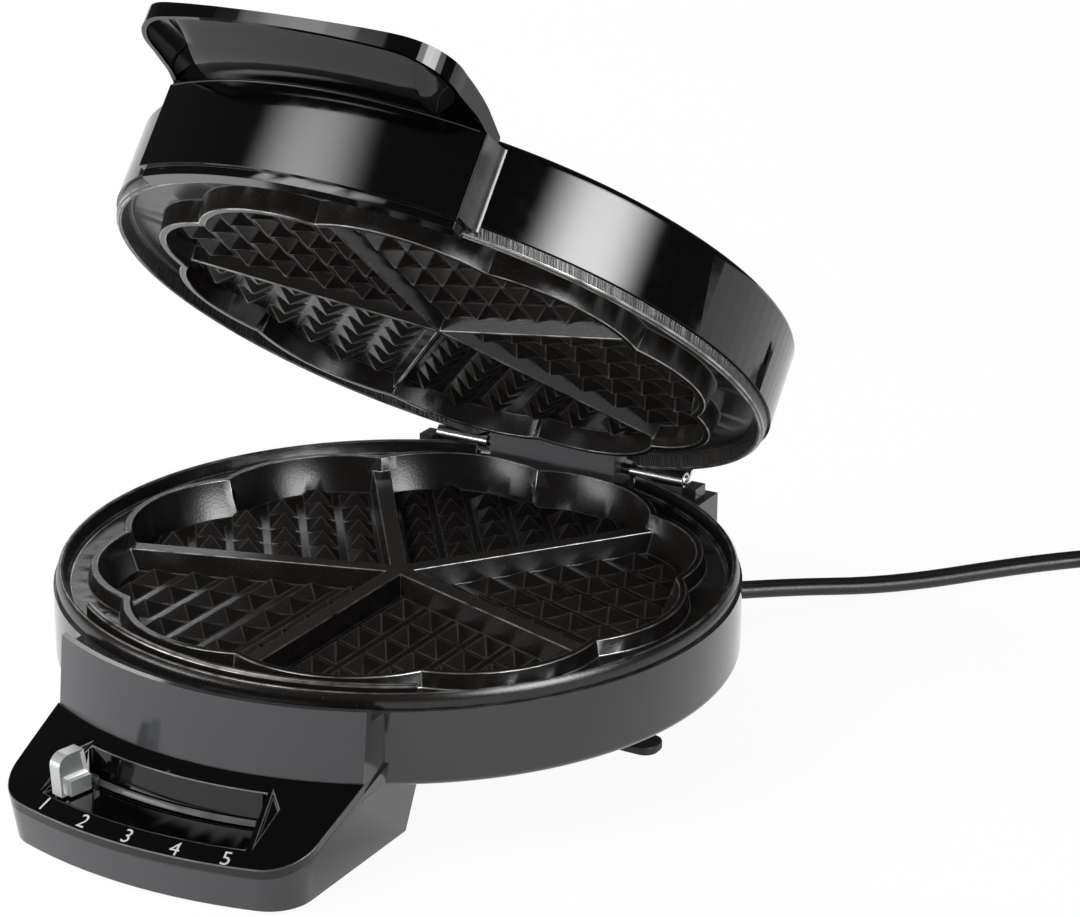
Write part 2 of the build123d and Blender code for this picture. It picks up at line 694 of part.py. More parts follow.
hood_top = hood_profile([(53.5, 0.8), (48.5, 1.8), (43.5, 3.0), (38.5, 5.2), (34.5, 6.6), (26.5, 8.1), (18.5, 8.8),
                         (11.5, 9.0), (5.5, 8.8), (1.5, 8.1), (-2.5, 6.8)])
hood_under = hood_profile([(-2.5, 5.8), (7.5, 6.2), (15.5, 6.0), (20.5, 5.0), (24.0, 2.8), (26.3, 1.2), (27.5, 0.0),
                           (53.5, 0.0)])
skirt_low = hood_profile([(-2.5, 4.4), (3.5, 4.3), (16.5, 3.2), (26.0, 2.4), (34.5, 1.8), (39.5, 0.0), (53.5, 0.0)])
hood_base = lid_seam - 10
hood_solid = extrude(lifted(hood_plan(0, plan_y), hood_base), amount=30)
hood_inside = extrude(lifted(hood_plan(hood_wall, -box_rear), hood_base), amount=30)
hood_shell = hood_solid & along_x(hood_top + hood_under, lid_half_width + 1)
skirt = (hood_solid - hood_inside) & along_x(hood_top + skirt_low, lid_half_width + 1)
nose_top = drum(block_top_radius, lid_seam, cover_edge - 0.4) & box(-lid_half_width, lid_half_width, -far, -box_rear, 0, far)
cover = cover_outer + hood_shell + skirt + (nose_top - drum(inner_radius, 0, far))
cover -= cover_inner
lamp_holes = [(-lamp_x, lamp_y), (lamp_x, lamp_y)]
for x, y in lamp_holes:
    cover -= at(x, -y, lid_seam - 1, lamp_radius + screw_fit, 20)
nodes["lid_cover"] = cover
for name, (x, y) in zip(("lamp_lens_red", "lamp_lens_green"), lamp_holes):
    crown = cover_edge + 3.0
    nodes[name] = at(x, -y, lid_seam + 0.6, lamp_radius, crown - lid_seam - 0.6) + at(x, -y, lid_seam - 0.6, lamp_radius + 1.0, 1.2)

# Upper baking plate
seat_radius = inner_radius - plate_clear
upper_lip = [(0, upper_trough), (upper_lip_inner, upper_trough), (upper_lip_inner + 0.7, upper_trough - 0.8),
             (lip_crest_radius - 0.9, upper_lip_crest + 0.2), (lip_crest_radius, upper_lip_crest),
             (lip_outer - 0.3, upper_lip_crest + 0.9), (lip_outer, lid_wall_bottom), (seat_radius, lid_wall_bottom),
             (seat_radius, upper_trough + plate_thickness), (0, upper_trough + plate_thickness)]
upper = turned(upper_lip)
upper += loft([lifted(scallop(upper_scale, rim_low), upper_trough), lifted(scallop(upper_scale, -rim_half), upper_rim)], ruled=True)
upper -= loft([lifted(scallop(upper_scale, well_top_inset), upper_trough), lifted(scallop(upper_scale, rim_half), upper_rim)], ruled=True)
ridge_reach = lobe_reach(upper_scale, 0, 0)
ridge_low = upper_trough - ridge_height


def ridge():
    foot = Plane.YZ * make_face(Polyline((-ridge_foot, upper_trough + 0.2), (ridge_foot, upper_trough + 0.2),
                                         (ridge_tip, ridge_low), (-ridge_tip, ridge_low), close=True))
    return extrude(foot, amount=ridge_reach)


upper += [Rot(0, 0, a) * ridge() for a in spoke_angles]
upper_seats = pyramid_seats(upper_scale, well_top_inset + pyramid_edge_margin, ridge_foot)
upper_keep = drum(lobe_radius, ridge_low - 1, upper_trough + 1) & extrude(
    lifted(scallop(upper_scale, rim_half), ridge_low - 1), amount=10)
down = Rot(180, 0, 0) * one_pyramid
upper_pyramids = [(Pos(x, y, upper_trough) * down) & upper_keep.rotate(Axis.Z, -heart_angles[0]) for x, y in upper_seats]
upper += [Rot(0, 0, a) * p for a in heart_angles for p in upper_pyramids]
for a in post_angles:
    x, y = polar(upper_post_ring, a)
    upper += at(x, y, upper_trough + plate_thickness, post_radius, upper_post_top - upper_trough - plate_thickness)
    upper -= at(x, y, upper_post_top - screw_depth + 1, screw_radius + screw_fit, screw_depth)
upper -= lid_notch
upper -= groove
nodes["upper_plate"] = upper
nodes["upper_element"] = heating_element(upper_trough + plate_thickness + element_tube)
upper_shield = drum(upper_shield_radius, upper_post_top, upper_post_top + shield_thickness)
upper_shield += drum(upper_shield_radius, upper_post_top - 3, upper_post_top + shield_thickness) - drum(
    upper_shield_radius - shield_thickness, 0, far)
for a in post_angles:
    x, y = polar(upper_post_ring, a)
    upper_shield -= at(x, y, 0, screw_radius + hole_clear, far)
nodes["upper_heat_shield"] = upper_shield
nodes["upper_plate_screws"] = [
    at(*polar(upper_post_ring, a), upper_post_top - screw_depth + 2, screw_radius, screw_depth - 2 + shield_thickness)
    + at(*polar(upper_post_ring, a), upper_post_top + shield_thickness, screw_head_radius, screw_head_height)
    for a in post_angles]

# Side feet that hold the wound cord, front pads, rear pedestal
hooks = []
for side in (-1, 1):
    foot = box(hook_inner, hook_outer, hook_front, hook_front + hook_depth, 0, hook_flange)
    foot = fillet(foot.edges().filter_by(Axis.Z).group_by(Axis.X)[-1], 4.0)
    foot += box(hook_inner, hook_inner + 8, hook_front, hook_front + hook_depth, hook_flange, drum_bottom)
    foot += box(hook_inner + 8, hook_inner + 8 + hook_web, hook_front + hook_depth / 2 - 1.5,
                hook_front + hook_depth / 2 + 1.5, hook_flange, drum_bottom)
    hooks.append(foot if side > 0 else mirror(foot, about=Plane.YZ))
nodes["cord_hooks"] = hooks
nodes["front_feet"] = [at(s * front_foot_x, -front_foot_y, 0, foot_radius, box_bottom + foot_seat) for s in (-1, 1)]
for s in (-1, 1):
    nodes["box_cover"] -= at(s * front_foot_x, -front_foot_y, box_bottom, foot_radius + screw_fit, foot_seat)
pedestal = box(-pedestal_half, pedestal_half, pedestal_front, pedestal_rear, box_bottom, drum_bottom)
pedestal = chamfer(pedestal.edges().filter_by(Axis.Z).sort_by(Axis.X)[2:].sort_by(Axis.Y)[-1], pedestal_chamfer)
pedestal = fillet(pedestal.edges().filter_by(Axis.Z).sort_by(Axis.X)[0:2], 6.0)
pedestal -= box(-pedestal_half + wall, pedestal_half - wall, pedestal_front + wall, pedestal_rear - wall,
                box_bottom + wall, drum_bottom)
gland_turn = -45.0
gland_x = pedestal_half - pedestal_chamfer / 2
gland_y = pedestal_rear - pedestal_chamfer / 2
gland_place = Pos(gland_x, gland_y, cord_height) * Rot(0, 0, gland_turn)
gland_inside = gland_place * along_y(0, -gland_length, gland_length, 0, gland_radius - gland_bite / 2 + screw_fit)
pedestal -= gland_inside
for s in (-1, 1):
    pedestal -= at(s * (pedestal_half - 9), pedestal_front + 9, box_bottom, foot_radius + screw_fit, wall / 2)
nodes["rear_pedestal"] = pedestal
nodes["rear_feet"] = [at(s * (pedestal_half - 9), pedestal_front + 9, 0, foot_radius, box_bottom + wall / 2) for s in (-1, 1)]
terminal = box(-24, -2, pedestal_front + wall + 3, pedestal_front + wall + 15, box_bottom + wall, box_bottom + wall + 11)
for i in range(3):
    terminal -= at(-20 + 7 * i, pedestal_front + wall + 9, box_bottom + wall + 6, 2.0, 6)
nodes["terminal_block"] = terminal
gland = along_y(0, -wall - gland_bite, 0, 0, gland_radius - gland_bite / 2)
gland += along_y(0, 0, gland_collar, 0, gland_radius)
sleeve_profile = [(0, 0), (gland_radius - 0.6, 0), (gland_tip_radius, gland_length), (0, gland_length)]
gland += Rot(-90, 0, 0) * turned(sleeve_profile)
nodes["cord_gland"] = gland_place * gland

# Cord on the table, from the gland to the coil
cord_low = cord_diameter / 2 + cord_floor_clear
reach = gland_length * math.sin(math.radians(-gland_turn))
cord_start = (gland_x + reach, gland_y + reach, cord_height)
cord_points = [cord_start, (63.0, 121.0, cord_height), (89.0, 151.0, cord_low), (119.0, 190.0, cord_low),
               (144.5, 215.0, cord_low)]
coil_entry = Vector(165.0, 235.5, cord_low)
last = Vector(*cord_points[-1])
heading = (coil_entry - last).normalized()
cord_end = coil_entry - heading * cord_diameter
cord_points.append((cord_end.X, cord_end.Y, cord_end.Z))
cord_line = [Vector(*p) for p in cord_points]
cord_radii = []
for a, b, c in zip(cord_line, cord_line[1:], cord_line[2:]):
    turn = math.radians((b - a).get_angle(c - b))
    cord_radii.append(0.45 * min((b - a).length, (c - b).length) / math.tan(turn / 2))
cord_path = FilletPolyline(*cord_points, radius=cord_radii)
cord_corner = cord_diameter / 2 / math.cos(math.pi / cord_sides)
cord_polygon = Rot(0, 0, 180.0 / cord_sides) * RegularPolygon(cord_corner, cord_sides)
flat_way = Vector(cord_line[1].X - cord_line[0].X, cord_line[1].Y - cord_line[0].Y, 0).normalized()
cord_section = Plane(cord_line[0], x_dir=(flat_way.Y, -flat_way.X, 0), z_dir=flat_way) * cord_polygon
power_cord = sweep(cord_section, path=cord_path)
nodes["power_cord"] = power_cord
print("cord radii", [round(r, 1) for r in cord_radii], "length", round(cord_path.length, 1))
print("cord volume ratio", round(power_cord.volume / (cord_polygon.area * cord_path.length), 4))

# Coil of two layers, half turns about two centres, climbing in the third
layer = cord_diameter + coil_gap
half_pitch = layer / 2
outer = coil_inner_radius + layer
half_turns = [(0, outer, 0, 0), (half_pitch, outer - half_pitch, 0, 0), (0, coil_inner_radius, 0, layer),
              (-half_pitch, coil_inner_radius + half_pitch, layer, layer), (0, outer, layer, layer),
              (-half_pitch, outer + half_pitch, layer, layer)]
side_way = Vector(heading.Y, -heading.X, 0)
coil_centre = coil_entry + side_way * outer


def coil_point(across, along, rise):
    return coil_centre + side_way * across + heading * along + Vector(0, 0, rise)


coil_edges = [Line(cord_end, coil_entry)]
for k, (offset, radius, z0, z1) in enumerate(half_turns):
    way = 1 if k % 2 == 0 else -1
    first = coil_point(offset - way * radius, 0, z0)
    middle = coil_point(offset, way * radius, (z0 + z1) / 2)
    coil_edges.append(ThreePointArc(first, middle, coil_point(offset + way * radius, 0, z1)))
coil_exit = coil_edges[-1] @ 1
coil_edges.append(Line(coil_exit, coil_exit + heading * cord_diameter))
coil_path = Wire(coil_edges)
coil = sweep(Plane(cord_end, x_dir=side_way, z_dir=heading) * cord_polygon, path=coil_path)
nodes["cord_coil"] = coil
samples = []
travelled = 0.0
for edge in coil_edges:
    count = max(2, int(edge.length / 1.5))
    samples += [(travelled + edge.length * i / count, edge @ (i / count)) for i in range(count)]
    travelled += edge.length
least = min((p - q).length for i, (s, p) in enumerate(samples) for t, q in samples[i + 1:] if t - s > 2.5 * cord_diameter)
print("coil least gap", round(least - cord_diameter, 3), "length", round(travelled, 1))
print("coil volume ratio", round(coil.volume / (cord_polygon.area * travelled), 4))

# Plug beyond the coil
plug_start = coil_exit + heading * cord_diameter
plug_half = plug_start.Z - plug_floor_clear
plug_plane = Plane(Vector(plug_start.X, plug_start.Y, plug_start.Z), x_dir=heading, z_dir=(0, 0, 1))
plug_plan = make_face(Polyline((0, -plug_tail_half), (plug_tail, -plug_tail_half), (plug_length * 0.6, -plug_half_width),
                               (plug_length, -plug_half_width), (plug_length, plug_half_width),
                               (plug_length * 0.6, plug_half_width), (plug_tail, plug_tail_half),
                               (0, plug_tail_half), close=True))
plug = extrude(plug_plan, amount=plug_half, both=True)
tail_trim = box(-1, plug_tail, -plug_half_width, plug_half_width, plug_tail_half, 2 * plug_half)
plug = plug - tail_trim - mirror(tail_trim, about=Plane.XY)
plug = fillet(plug.edges().filter_by(Axis.Z).group_by(Axis.X)[-1], 5.0)
pins = [Pos(plug_length + plug_pin_length / 2 - 4, s * plug_pin_spacing / 2, 0) * Rot(0, 90, 0)
        * Cylinder(plug_pin_radius, plug_pin_length + 8) for s in (-1, 1)]
pins = [chamfer(p.edges().group_by(Axis.X)[-1], plug_pin_radius * 0.35) for p in pins]
for p in pins:
    plug -= p
nodes["mains_plug"] = plug_plane.location * plug
nodes["plug_pins"] = [plug_plane.location * p for p in pins]

# Everything that swings with the lid opens to the rest angle.
lid_names = ["lid_ring", "lid_cover", "upper_plate", "upper_element", "upper_heat_shield", "upper_plate_screws",
             "hinge_leaves", "hinge_leaf_screws", "lamp_lens_red", "lamp_lens_green"]
hinge_line = Axis((0, hinge_y, hinge_z), (1, 0, 0))


def solids_of(value):
    return list(value) if isinstance(value, list) else [value]


for name in lid_names:
    nodes[name] = [s.rotate(hinge_line, -lid_rest) for s in solids_of(nodes[name])]

cord_names = ["power_cord", "cord_coil", "mains_plug", "plug_pins", "cord_gland"]
low = [1e9, 1e9, 1e9]
high = [-1e9, -1e9, -1e9]
for name, value in nodes.items():
    if name in cord_names:
        continue
    for solid in solids_of(value):
        bb = solid.bounding_box()
        low = [min(low[0], bb.min.X), min(low[1], bb.min.Y), min(low[2], bb.min.Z)]
        high = [max(high[0], bb.max.X), max(high[1], bb.max.Y), max(high[2], bb.max.Z)]
centre = Pos(-(low[0] + high[0]) / 2, -(low[1] + high[1]) / 2, -low[2])
print("bounds", [round(v, 3) for v in low], [round(v, 3) for v in high])
print("shift y", round(-(low[1] + high[1]) / 2, 4))

for name, value in nodes.items():
    pieces = []
    for shape in solids_of(value):
        pieces += (centre * shape).solids()
    out = Compound(children=pieces) if len(pieces) > 1 else pieces[0]
    out.label = name
    export_step(out, f"parts/{name}.step")
    print(name, len(pieces), round(sum(p.volume for p in pieces) / 1000, 2))
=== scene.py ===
import json
import math

import bmesh
import bpy
from mathutils import Matrix, Vector

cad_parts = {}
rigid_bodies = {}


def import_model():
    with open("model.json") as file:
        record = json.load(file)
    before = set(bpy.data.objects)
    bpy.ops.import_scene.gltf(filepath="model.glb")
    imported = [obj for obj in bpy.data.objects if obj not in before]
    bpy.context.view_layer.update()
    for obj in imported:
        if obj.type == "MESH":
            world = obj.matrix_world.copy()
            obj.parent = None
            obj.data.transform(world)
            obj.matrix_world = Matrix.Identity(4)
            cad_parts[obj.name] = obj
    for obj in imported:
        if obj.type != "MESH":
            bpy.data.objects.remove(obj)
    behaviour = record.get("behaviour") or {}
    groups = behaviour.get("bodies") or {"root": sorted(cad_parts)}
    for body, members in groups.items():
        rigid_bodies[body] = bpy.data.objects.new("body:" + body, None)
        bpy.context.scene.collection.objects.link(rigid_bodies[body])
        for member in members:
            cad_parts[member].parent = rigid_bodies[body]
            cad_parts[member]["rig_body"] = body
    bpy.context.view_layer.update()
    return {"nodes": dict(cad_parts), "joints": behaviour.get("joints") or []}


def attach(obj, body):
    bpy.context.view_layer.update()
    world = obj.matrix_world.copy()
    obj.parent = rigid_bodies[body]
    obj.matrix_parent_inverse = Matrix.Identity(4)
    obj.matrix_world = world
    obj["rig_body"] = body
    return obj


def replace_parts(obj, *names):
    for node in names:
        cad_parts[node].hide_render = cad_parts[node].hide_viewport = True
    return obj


bl_info = {
    "name": "Heart waffle maker",
    "version": (1, 0, 0),
    "blender": (4, 5, 0),
    "location": "3D View > Sidebar > Waffle maker",
    "description": "Dresses the heart waffle maker with its finishes, digits, knob and cord",
    "category": "Object",
}

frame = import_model()
hinge = Vector(next(j for j in frame["joints"] if j["name"] == "lid_hinge")["pos_m"])
drum_axis = Vector(next(j for j in frame["joints"] if j["name"] == "temperature_lever")["pos_m"])
LID_REST = math.radians(38.9)


def linear(hex_colour):
    # sRGB hex to the linear values that the shaders take.
    out = []
    for i in (1, 3, 5):
        c = int(hex_colour[i:i + 2], 16) / 255
        out.append(c / 12.92 if c <= 0.04045 else ((c + 0.055) / 1.055) ** 2.4)
    return (*out, 1.0)


def node(tree, kind, links=None, **settings):
    # Adds one node: settings are attributes or input values, links are sockets.
    made = tree.nodes.new(kind)
    inputs = settings.pop("inputs", {})
    for key, value in settings.items():
        setattr(made, key, value)
    for key, value in inputs.items():
        made.inputs[key].default_value = value
    for key, socket in (links or {}).items():
        tree.links.new(socket, made.inputs[key])
    return made


def new_material(name):
    material = bpy.data.materials.new(name)
    material.use_nodes = True
    material.node_tree.nodes.clear()
    return material, material.node_tree


def finish_material(tree, shader):
    node(tree, "ShaderNodeOutputMaterial", {"Surface": shader.outputs[0]})


def satin_anthracite_abs(props):
    # Moulded ABS with a spark-eroded satin skin: soft wide highlight, fine grain, no sparkle.
    material, tree = new_material("satin_anthracite_abs")
    place = node(tree, "ShaderNodeTexCoord").outputs["Object"]
    grain = node(tree, "ShaderNodeTexNoise", {"Vector": place}, inputs={"Scale": 1 / 0.0005, "Detail": 2.0})
    cloud = node(tree, "ShaderNodeTexNoise", {"Vector": place}, inputs={"Scale": 1 / 0.03, "Detail": 2.0})
    tone = node(tree, "ShaderNodeMix", {"Factor": cloud.outputs["Fac"]}, data_type="RGBA")
    tone.inputs["A"].default_value = linear(props.housing_dark)
    tone.inputs["B"].default_value = linear(props.housing_light)
    rough = node(tree, "ShaderNodeMapRange", {"Value": grain.outputs["Fac"]},
                 inputs={"From Min": 0.3, "From Max": 0.7, "To Min": props.housing_roughness - 0.03,
                         "To Max": props.housing_roughness + 0.03})
    bump = node(tree, "ShaderNodeBump", {"Height": grain.outputs["Fac"]}, inputs={"Strength": 0.06, "Distance": 0.00006})
    skin = node(tree, "ShaderNodeBsdfPrincipled", {"Base Color": tone.outputs["Result"], "Roughness": rough.outputs[0],
                                                   "Normal": bump.outputs[0]}, inputs={"IOR": 1.5, "Coat Weight": 0.2, "Coat Roughness": 0.06})
    finish_material(tree, skin)
    return material


def polished_black_abs(props):
    # Mirror-moulded ABS: near black body colour, sharp reflections with slight waviness.
    material, tree = new_material("polished_black_abs")
    place = node(tree, "ShaderNodeTexCoord").outputs["Object"]
    wave = node(tree, "ShaderNodeTexNoise", {"Vector": place}, inputs={"Scale": 1 / 0.012, "Detail": 1.0})
    haze = node(tree, "ShaderNodeTexNoise", {"Vector": place}, inputs={"Scale": 1 / 0.004, "Detail": 3.0})
    rough = node(tree, "ShaderNodeMapRange", {"Value": haze.outputs["Fac"]},
                 inputs={"From Min": 0.35, "From Max": 0.75, "To Min": 0.05, "To Max": 0.11})
    bump = node(tree, "ShaderNodeBump", {"Height": wave.outputs["Fac"]}, inputs={"Strength": 0.05, "Distance": 0.0002})
    skin = node(tree, "ShaderNodeBsdfPrincipled", {"Roughness": rough.outputs[0], "Normal": bump.outputs[0]},
                inputs={"Base Color": linear(props.lid_black), "IOR": 1.5})
    finish_material(tree, skin)
    return material


def nonstick_cast_aluminium(props, name="nonstick_cast_aluminium", machined_lip=False):
    # Die-cast aluminium under a sprayed dark coat: orange-peel skin with fine bright flecks.
    material, tree = new_material(name)
    place = node(tree, "ShaderNodeTexCoord").outputs["Object"]
    fleck = node(tree, "ShaderNodeTexVoronoi", {"Vector": place}, inputs={"Scale": 1 / 0.0006, "Randomness": 1.0})
    fleck_on = node(tree, "ShaderNodeMapRange", {"Value": fleck.outputs["Distance"]},
                    inputs={"From Min": 0.10, "From Max": 0.22, "To Min": 1.0, "To Max": 0.0})
    pick = node(tree, "ShaderNodeSeparateColor", {"Color": fleck.outputs["Color"]})
    some = node(tree, "ShaderNodeMath", {0: pick.outputs[0]}, operation="GREATER_THAN", inputs={1: 0.8})
    fleck_mask = node(tree, "ShaderNodeMath", {0: fleck_on.outputs[0], 1: some.outputs[0]}, operation="MULTIPLY")
    cloud = node(tree, "ShaderNodeTexNoise", {"Vector": place}, inputs={"Scale": 1 / 0.02, "Detail": 3.0})
    base = node(tree, "ShaderNodeMix", {"Factor": cloud.outputs["Fac"]}, data_type="RGBA")
    base.inputs["A"].default_value = linear(props.coat_dark)
    base.inputs["B"].default_value = linear(props.coat_light)
    tone = node(tree, "ShaderNodeMix", {"Factor": fleck_mask.outputs[0], "A": base.outputs["Result"]}, data_type="RGBA")
    tone.inputs["B"].default_value = linear(props.coat_fleck)
    peel = node(tree, "ShaderNodeTexNoise", {"Vector": place}, inputs={"Scale": 1 / 0.0007, "Detail": 2.0})
    bump = node(tree, "ShaderNodeBump", {"Height": peel.outputs["Fac"]}, inputs={"Strength": 0.35, "Distance": 0.0001})
    if machined_lip:
        tone, bump = turned_lip(tree, place, tone, bump)
    else:
        tone = wear_and_highlight_crests(tree, place, tone)
    skin = node(tree, "ShaderNodeBsdfPrincipled", {"Base Color": tone.outputs["Result"], "Normal": bump.outputs[0]},
                inputs={"IOR": 1.5, "Roughness": props.coat_roughness})
    finish_material(tree, skin)
    return material


def wear_and_highlight_crests(tree, place, tone):
    # On the lower plate's spokes and inner rims the tops are coloured greyer: coat wear showing the casting, and a
    # painted highlight.
    part = node(tree, "ShaderNodeSeparateXYZ", {0: place})
    centre = node(tree, "ShaderNodeVectorMath", {0: place}, operation="SUBTRACT", inputs={1: (0, drum_axis.y, 0)})
    flat = node(tree, "ShaderNodeVectorMath", {0: centre.outputs[0]}, operation="MULTIPLY", inputs={1: (1, 1, 0)})
    radius = node(tree, "ShaderNodeVectorMath", {0: flat.outputs[0]}, operation="LENGTH").outputs["Value"]
    inside = node(tree, "ShaderNodeMath", {0: radius}, operation="LESS_THAN", inputs={1: 0.0805})
    top = node(tree, "ShaderNodeMapRange", {"Value": part.outputs[2]}, inputs={"From Min": 0.0418, "From Max": 0.0424, "To Max": 0.2})
    share = node(tree, "ShaderNodeMath", {0: inside.outputs[0], 1: top.outputs[0]}, operation="MULTIPLY")
    lighter_top = node(tree, "ShaderNodeMix", {"Factor": share.outputs[0], "A": tone.outputs["Result"]}, data_type="RGBA")
    lighter_top.inputs["B"].default_value = linear("#6a6764")
    return lighter_top


def turned_lip(tree, place, tone, bump):
    # Slanting tool marks, drawn 0.5 mm apart so that they show, on the outer 4 mm of the upper plate's lip.
    closed = closed_point(tree, place)
    part = node(tree, "ShaderNodeSeparateXYZ", {0: closed})
    y = node(tree, "ShaderNodeMath", {0: part.outputs[1]}, operation="SUBTRACT", inputs={1: drum_axis.y})
    flat = node(tree, "ShaderNodeCombineXYZ", {0: part.outputs[0], 1: y.outputs[0]})
    radius = node(tree, "ShaderNodeVectorMath", {0: flat.outputs[0]}, operation="LENGTH").outputs["Value"]
    angle = node(tree, "ShaderNodeMath", {0: y.outputs[0], 1: part.outputs[0]}, operation="ARCTAN2")
    around = node(tree, "ShaderNodeMath", {0: angle.outputs[0]}, operation="MULTIPLY", inputs={1: 0.097})
    lean = node(tree, "ShaderNodeMath", {0: radius}, operation="MULTIPLY", inputs={1: 3.5})
    slant = node(tree, "ShaderNodeMath", {0: lean.outputs[0], 1: around.outputs[0]}, operation="ADD")
    marks = node(tree, "ShaderNodeCombineXYZ", {0: slant.outputs[0]})
    cut = node(tree, "ShaderNodeTexNoise", {"Vector": marks.outputs[0]}, inputs={"Scale": 1 / 0.0005, "Detail": 2.0})
    lip = node(tree, "ShaderNodeMapRange", {"Value": radius}, inputs={"From Min": 0.0926, "From Max": 0.0932})
    fine = node(tree, "ShaderNodeMapRange", {"Value": cut.outputs["Fac"]}, inputs={"From Min": 0.44, "From Max": 0.6})
    share = node(tree, "ShaderNodeMath", {0: lip.outputs[0], 1: fine.outputs[0]}, operation="MULTIPLY")
    marked = node(tree, "ShaderNodeMix", {"Factor": share.outputs[0], "A": tone.outputs["Result"]}, data_type="RGBA")
    marked.inputs["B"].default_value = linear("#6d6b69")
    deep = node(tree, "ShaderNodeBump", {"Height": share.outputs[0], "Normal": bump.outputs[0]},
                inputs={"Strength": 0.6, "Distance": 0.0002})
    return marked, deep


def wear_and_highlight_coat_edges(name, crest, opened=False):
    # The same coat on the rounded edges, showing wear and painted lighter as a painted highlight: greyer, smoother,
    # broken where it still covers.
    # Rims and spokes get the most wear and painted highlight, the pyramids between them hardly.
    material, tree = new_material(name)
    place = node(tree, "ShaderNodeTexCoord").outputs["Object"]
    patch = node(tree, "ShaderNodeTexNoise", {"Vector": place}, inputs={"Scale": 1 / 0.006, "Detail": 2.0})
    wear_and_painted_highlight = node(tree, "ShaderNodeMapRange", {"Value": patch.outputs["Fac"]}, inputs={"From Min": 0.25, "From Max": 0.65})
    height = node(tree, "ShaderNodeSeparateXYZ", {0: closed_point(tree, place) if opened else place}).outputs[2]
    low, high = (crest + 0.0012, crest) if opened else (crest - 0.0012, crest)
    level = node(tree, "ShaderNodeMapRange", {"Value": height}, inputs={"From Min": low, "From Max": high, "To Min": 0.12})
    share = node(tree, "ShaderNodeMath", {0: wear_and_painted_highlight.outputs[0], 1: level.outputs[0]}, operation="MULTIPLY")
    tone = node(tree, "ShaderNodeMix", {"Factor": share.outputs[0]}, data_type="RGBA")
    tone.inputs["A"].default_value = linear("#2c2927")
    tone.inputs["B"].default_value = linear("#bcbab7")
    metal = node(tree, "ShaderNodeMath", {0: level.outputs[0]}, operation="MULTIPLY", inputs={1: 0.7})
    skin = node(tree, "ShaderNodeBsdfPrincipled", {"Base Color": tone.outputs["Result"], "Metallic": metal.outputs[0]},
                inputs={"Roughness": 0.3, "IOR": 1.5})
    finish_material(tree, skin)
    return material


def closed_point(tree, place):
    # Place that a point of the opened lid has when the lid is closed.
    from_hinge = node(tree, "ShaderNodeVectorMath", {0: place}, operation="SUBTRACT", inputs={1: hinge})
    turned = node(tree, "ShaderNodeVectorRotate", {"Vector": from_hinge.outputs[0]}, rotation_type="X_AXIS",
                  inputs={"Angle": LID_REST})
    return node(tree, "ShaderNodeVectorMath", {0: turned.outputs[0]}, operation="ADD", inputs={1: hinge}).outputs[0]


def painted_highlight_edges():
    # Rounded edges of the black panel, coloured lighter in patches as a painted highlight along them.
    material, tree = new_material("black_abs_painted_highlight_edges")
    place = node(tree, "ShaderNodeTexCoord").outputs["Object"]
    patch = node(tree, "ShaderNodeTexNoise", {"Vector": place}, inputs={"Scale": 1 / 0.008, "Detail": 2.0})
    tone = node(tree, "ShaderNodeMix", {"Factor": patch.outputs["Fac"]}, data_type="RGBA")
    tone.inputs["A"].default_value = linear("#3a3a3c")
    tone.inputs["B"].default_value = linear("#8e9092")
    skin = node(tree, "ShaderNodeBsdfPrincipled", {"Base Color": tone.outputs["Result"]}, inputs={"Roughness": 0.18, "IOR": 1.5})
    finish_material(tree, skin)
    return material


def silver_painted_abs(props):
    # Silver lacquer over ABS: pale metal pigment with a soft sheen.
    material, tree = new_material("silver_painted_abs")
    place = node(tree, "ShaderNodeTexCoord").outputs["Object"]
    flake = node(tree, "ShaderNodeTexNoise", {"Vector": place}, inputs={"Scale": 1 / 0.0003, "Detail": 1.0})
    tone = node(tree, "ShaderNodeMix", {"Factor": flake.outputs["Fac"]}, data_type="RGBA")
    tone.inputs["A"].default_value = linear("#c2c5c6")
    tone.inputs["B"].default_value = linear("#dcdedf")
    skin = node(tree, "ShaderNodeBsdfPrincipled", {"Base Color": tone.outputs["Result"]},
                inputs={"Metallic": 0.35, "Roughness": 0.3})
    finish_material(tree, skin)
    return material


def plated_steel(name="plated_steel", hex_colour="#b9babc", roughness=0.26):
    # Rolled and nickel-plated sheet: bright metal with faint drawing lines.
    material, tree = new_material(name)
    place = node(tree, "ShaderNodeTexCoord").outputs["Object"]
    lines = node(tree, "ShaderNodeMapping", {"Vector": place}, inputs={"Scale": (60.0, 1200.0, 1200.0)})
    drawn = node(tree, "ShaderNodeTexNoise", {"Vector": lines.outputs[0]}, inputs={"Scale": 1.0, "Detail": 2.0})
    rough = node(tree, "ShaderNodeMapRange", {"Value": drawn.outputs["Fac"]},
                 inputs={"From Min": 0.3, "From Max": 0.7, "To Min": roughness - 0.06, "To Max": roughness + 0.08})
    skin = node(tree, "ShaderNodeBsdfPrincipled", {"Roughness": rough.outputs[0]},
                inputs={"Base Color": linear(hex_colour), "Metallic": 1.0})
    finish_material(tree, skin)
    return material


def moulded(name, hex_colour, roughness, grit=0.0006, strength=0.2):
    # Plain moulded plastic or rubber with its grit.
    material, tree = new_material(name)
    place = node(tree, "ShaderNodeTexCoord").outputs["Object"]
    grain = node(tree, "ShaderNodeTexNoise", {"Vector": place}, inputs={"Scale": 1 / grit, "Detail": 2.0})
    rough = node(tree, "ShaderNodeMapRange", {"Value": grain.outputs["Fac"]},
                 inputs={"From Min": 0.3, "From Max": 0.7, "To Min": roughness - 0.05, "To Max": roughness + 0.05})
    bump = node(tree, "ShaderNodeBump", {"Height": grain.outputs["Fac"]}, inputs={"Strength": strength, "Distance": 0.0001})
    skin = node(tree, "ShaderNodeBsdfPrincipled", {"Roughness": rough.outputs[0], "Normal": bump.outputs[0]},
                inputs={"Base Color": linear(hex_colour), "IOR": 1.5})
    finish_material(tree, skin)
    return material


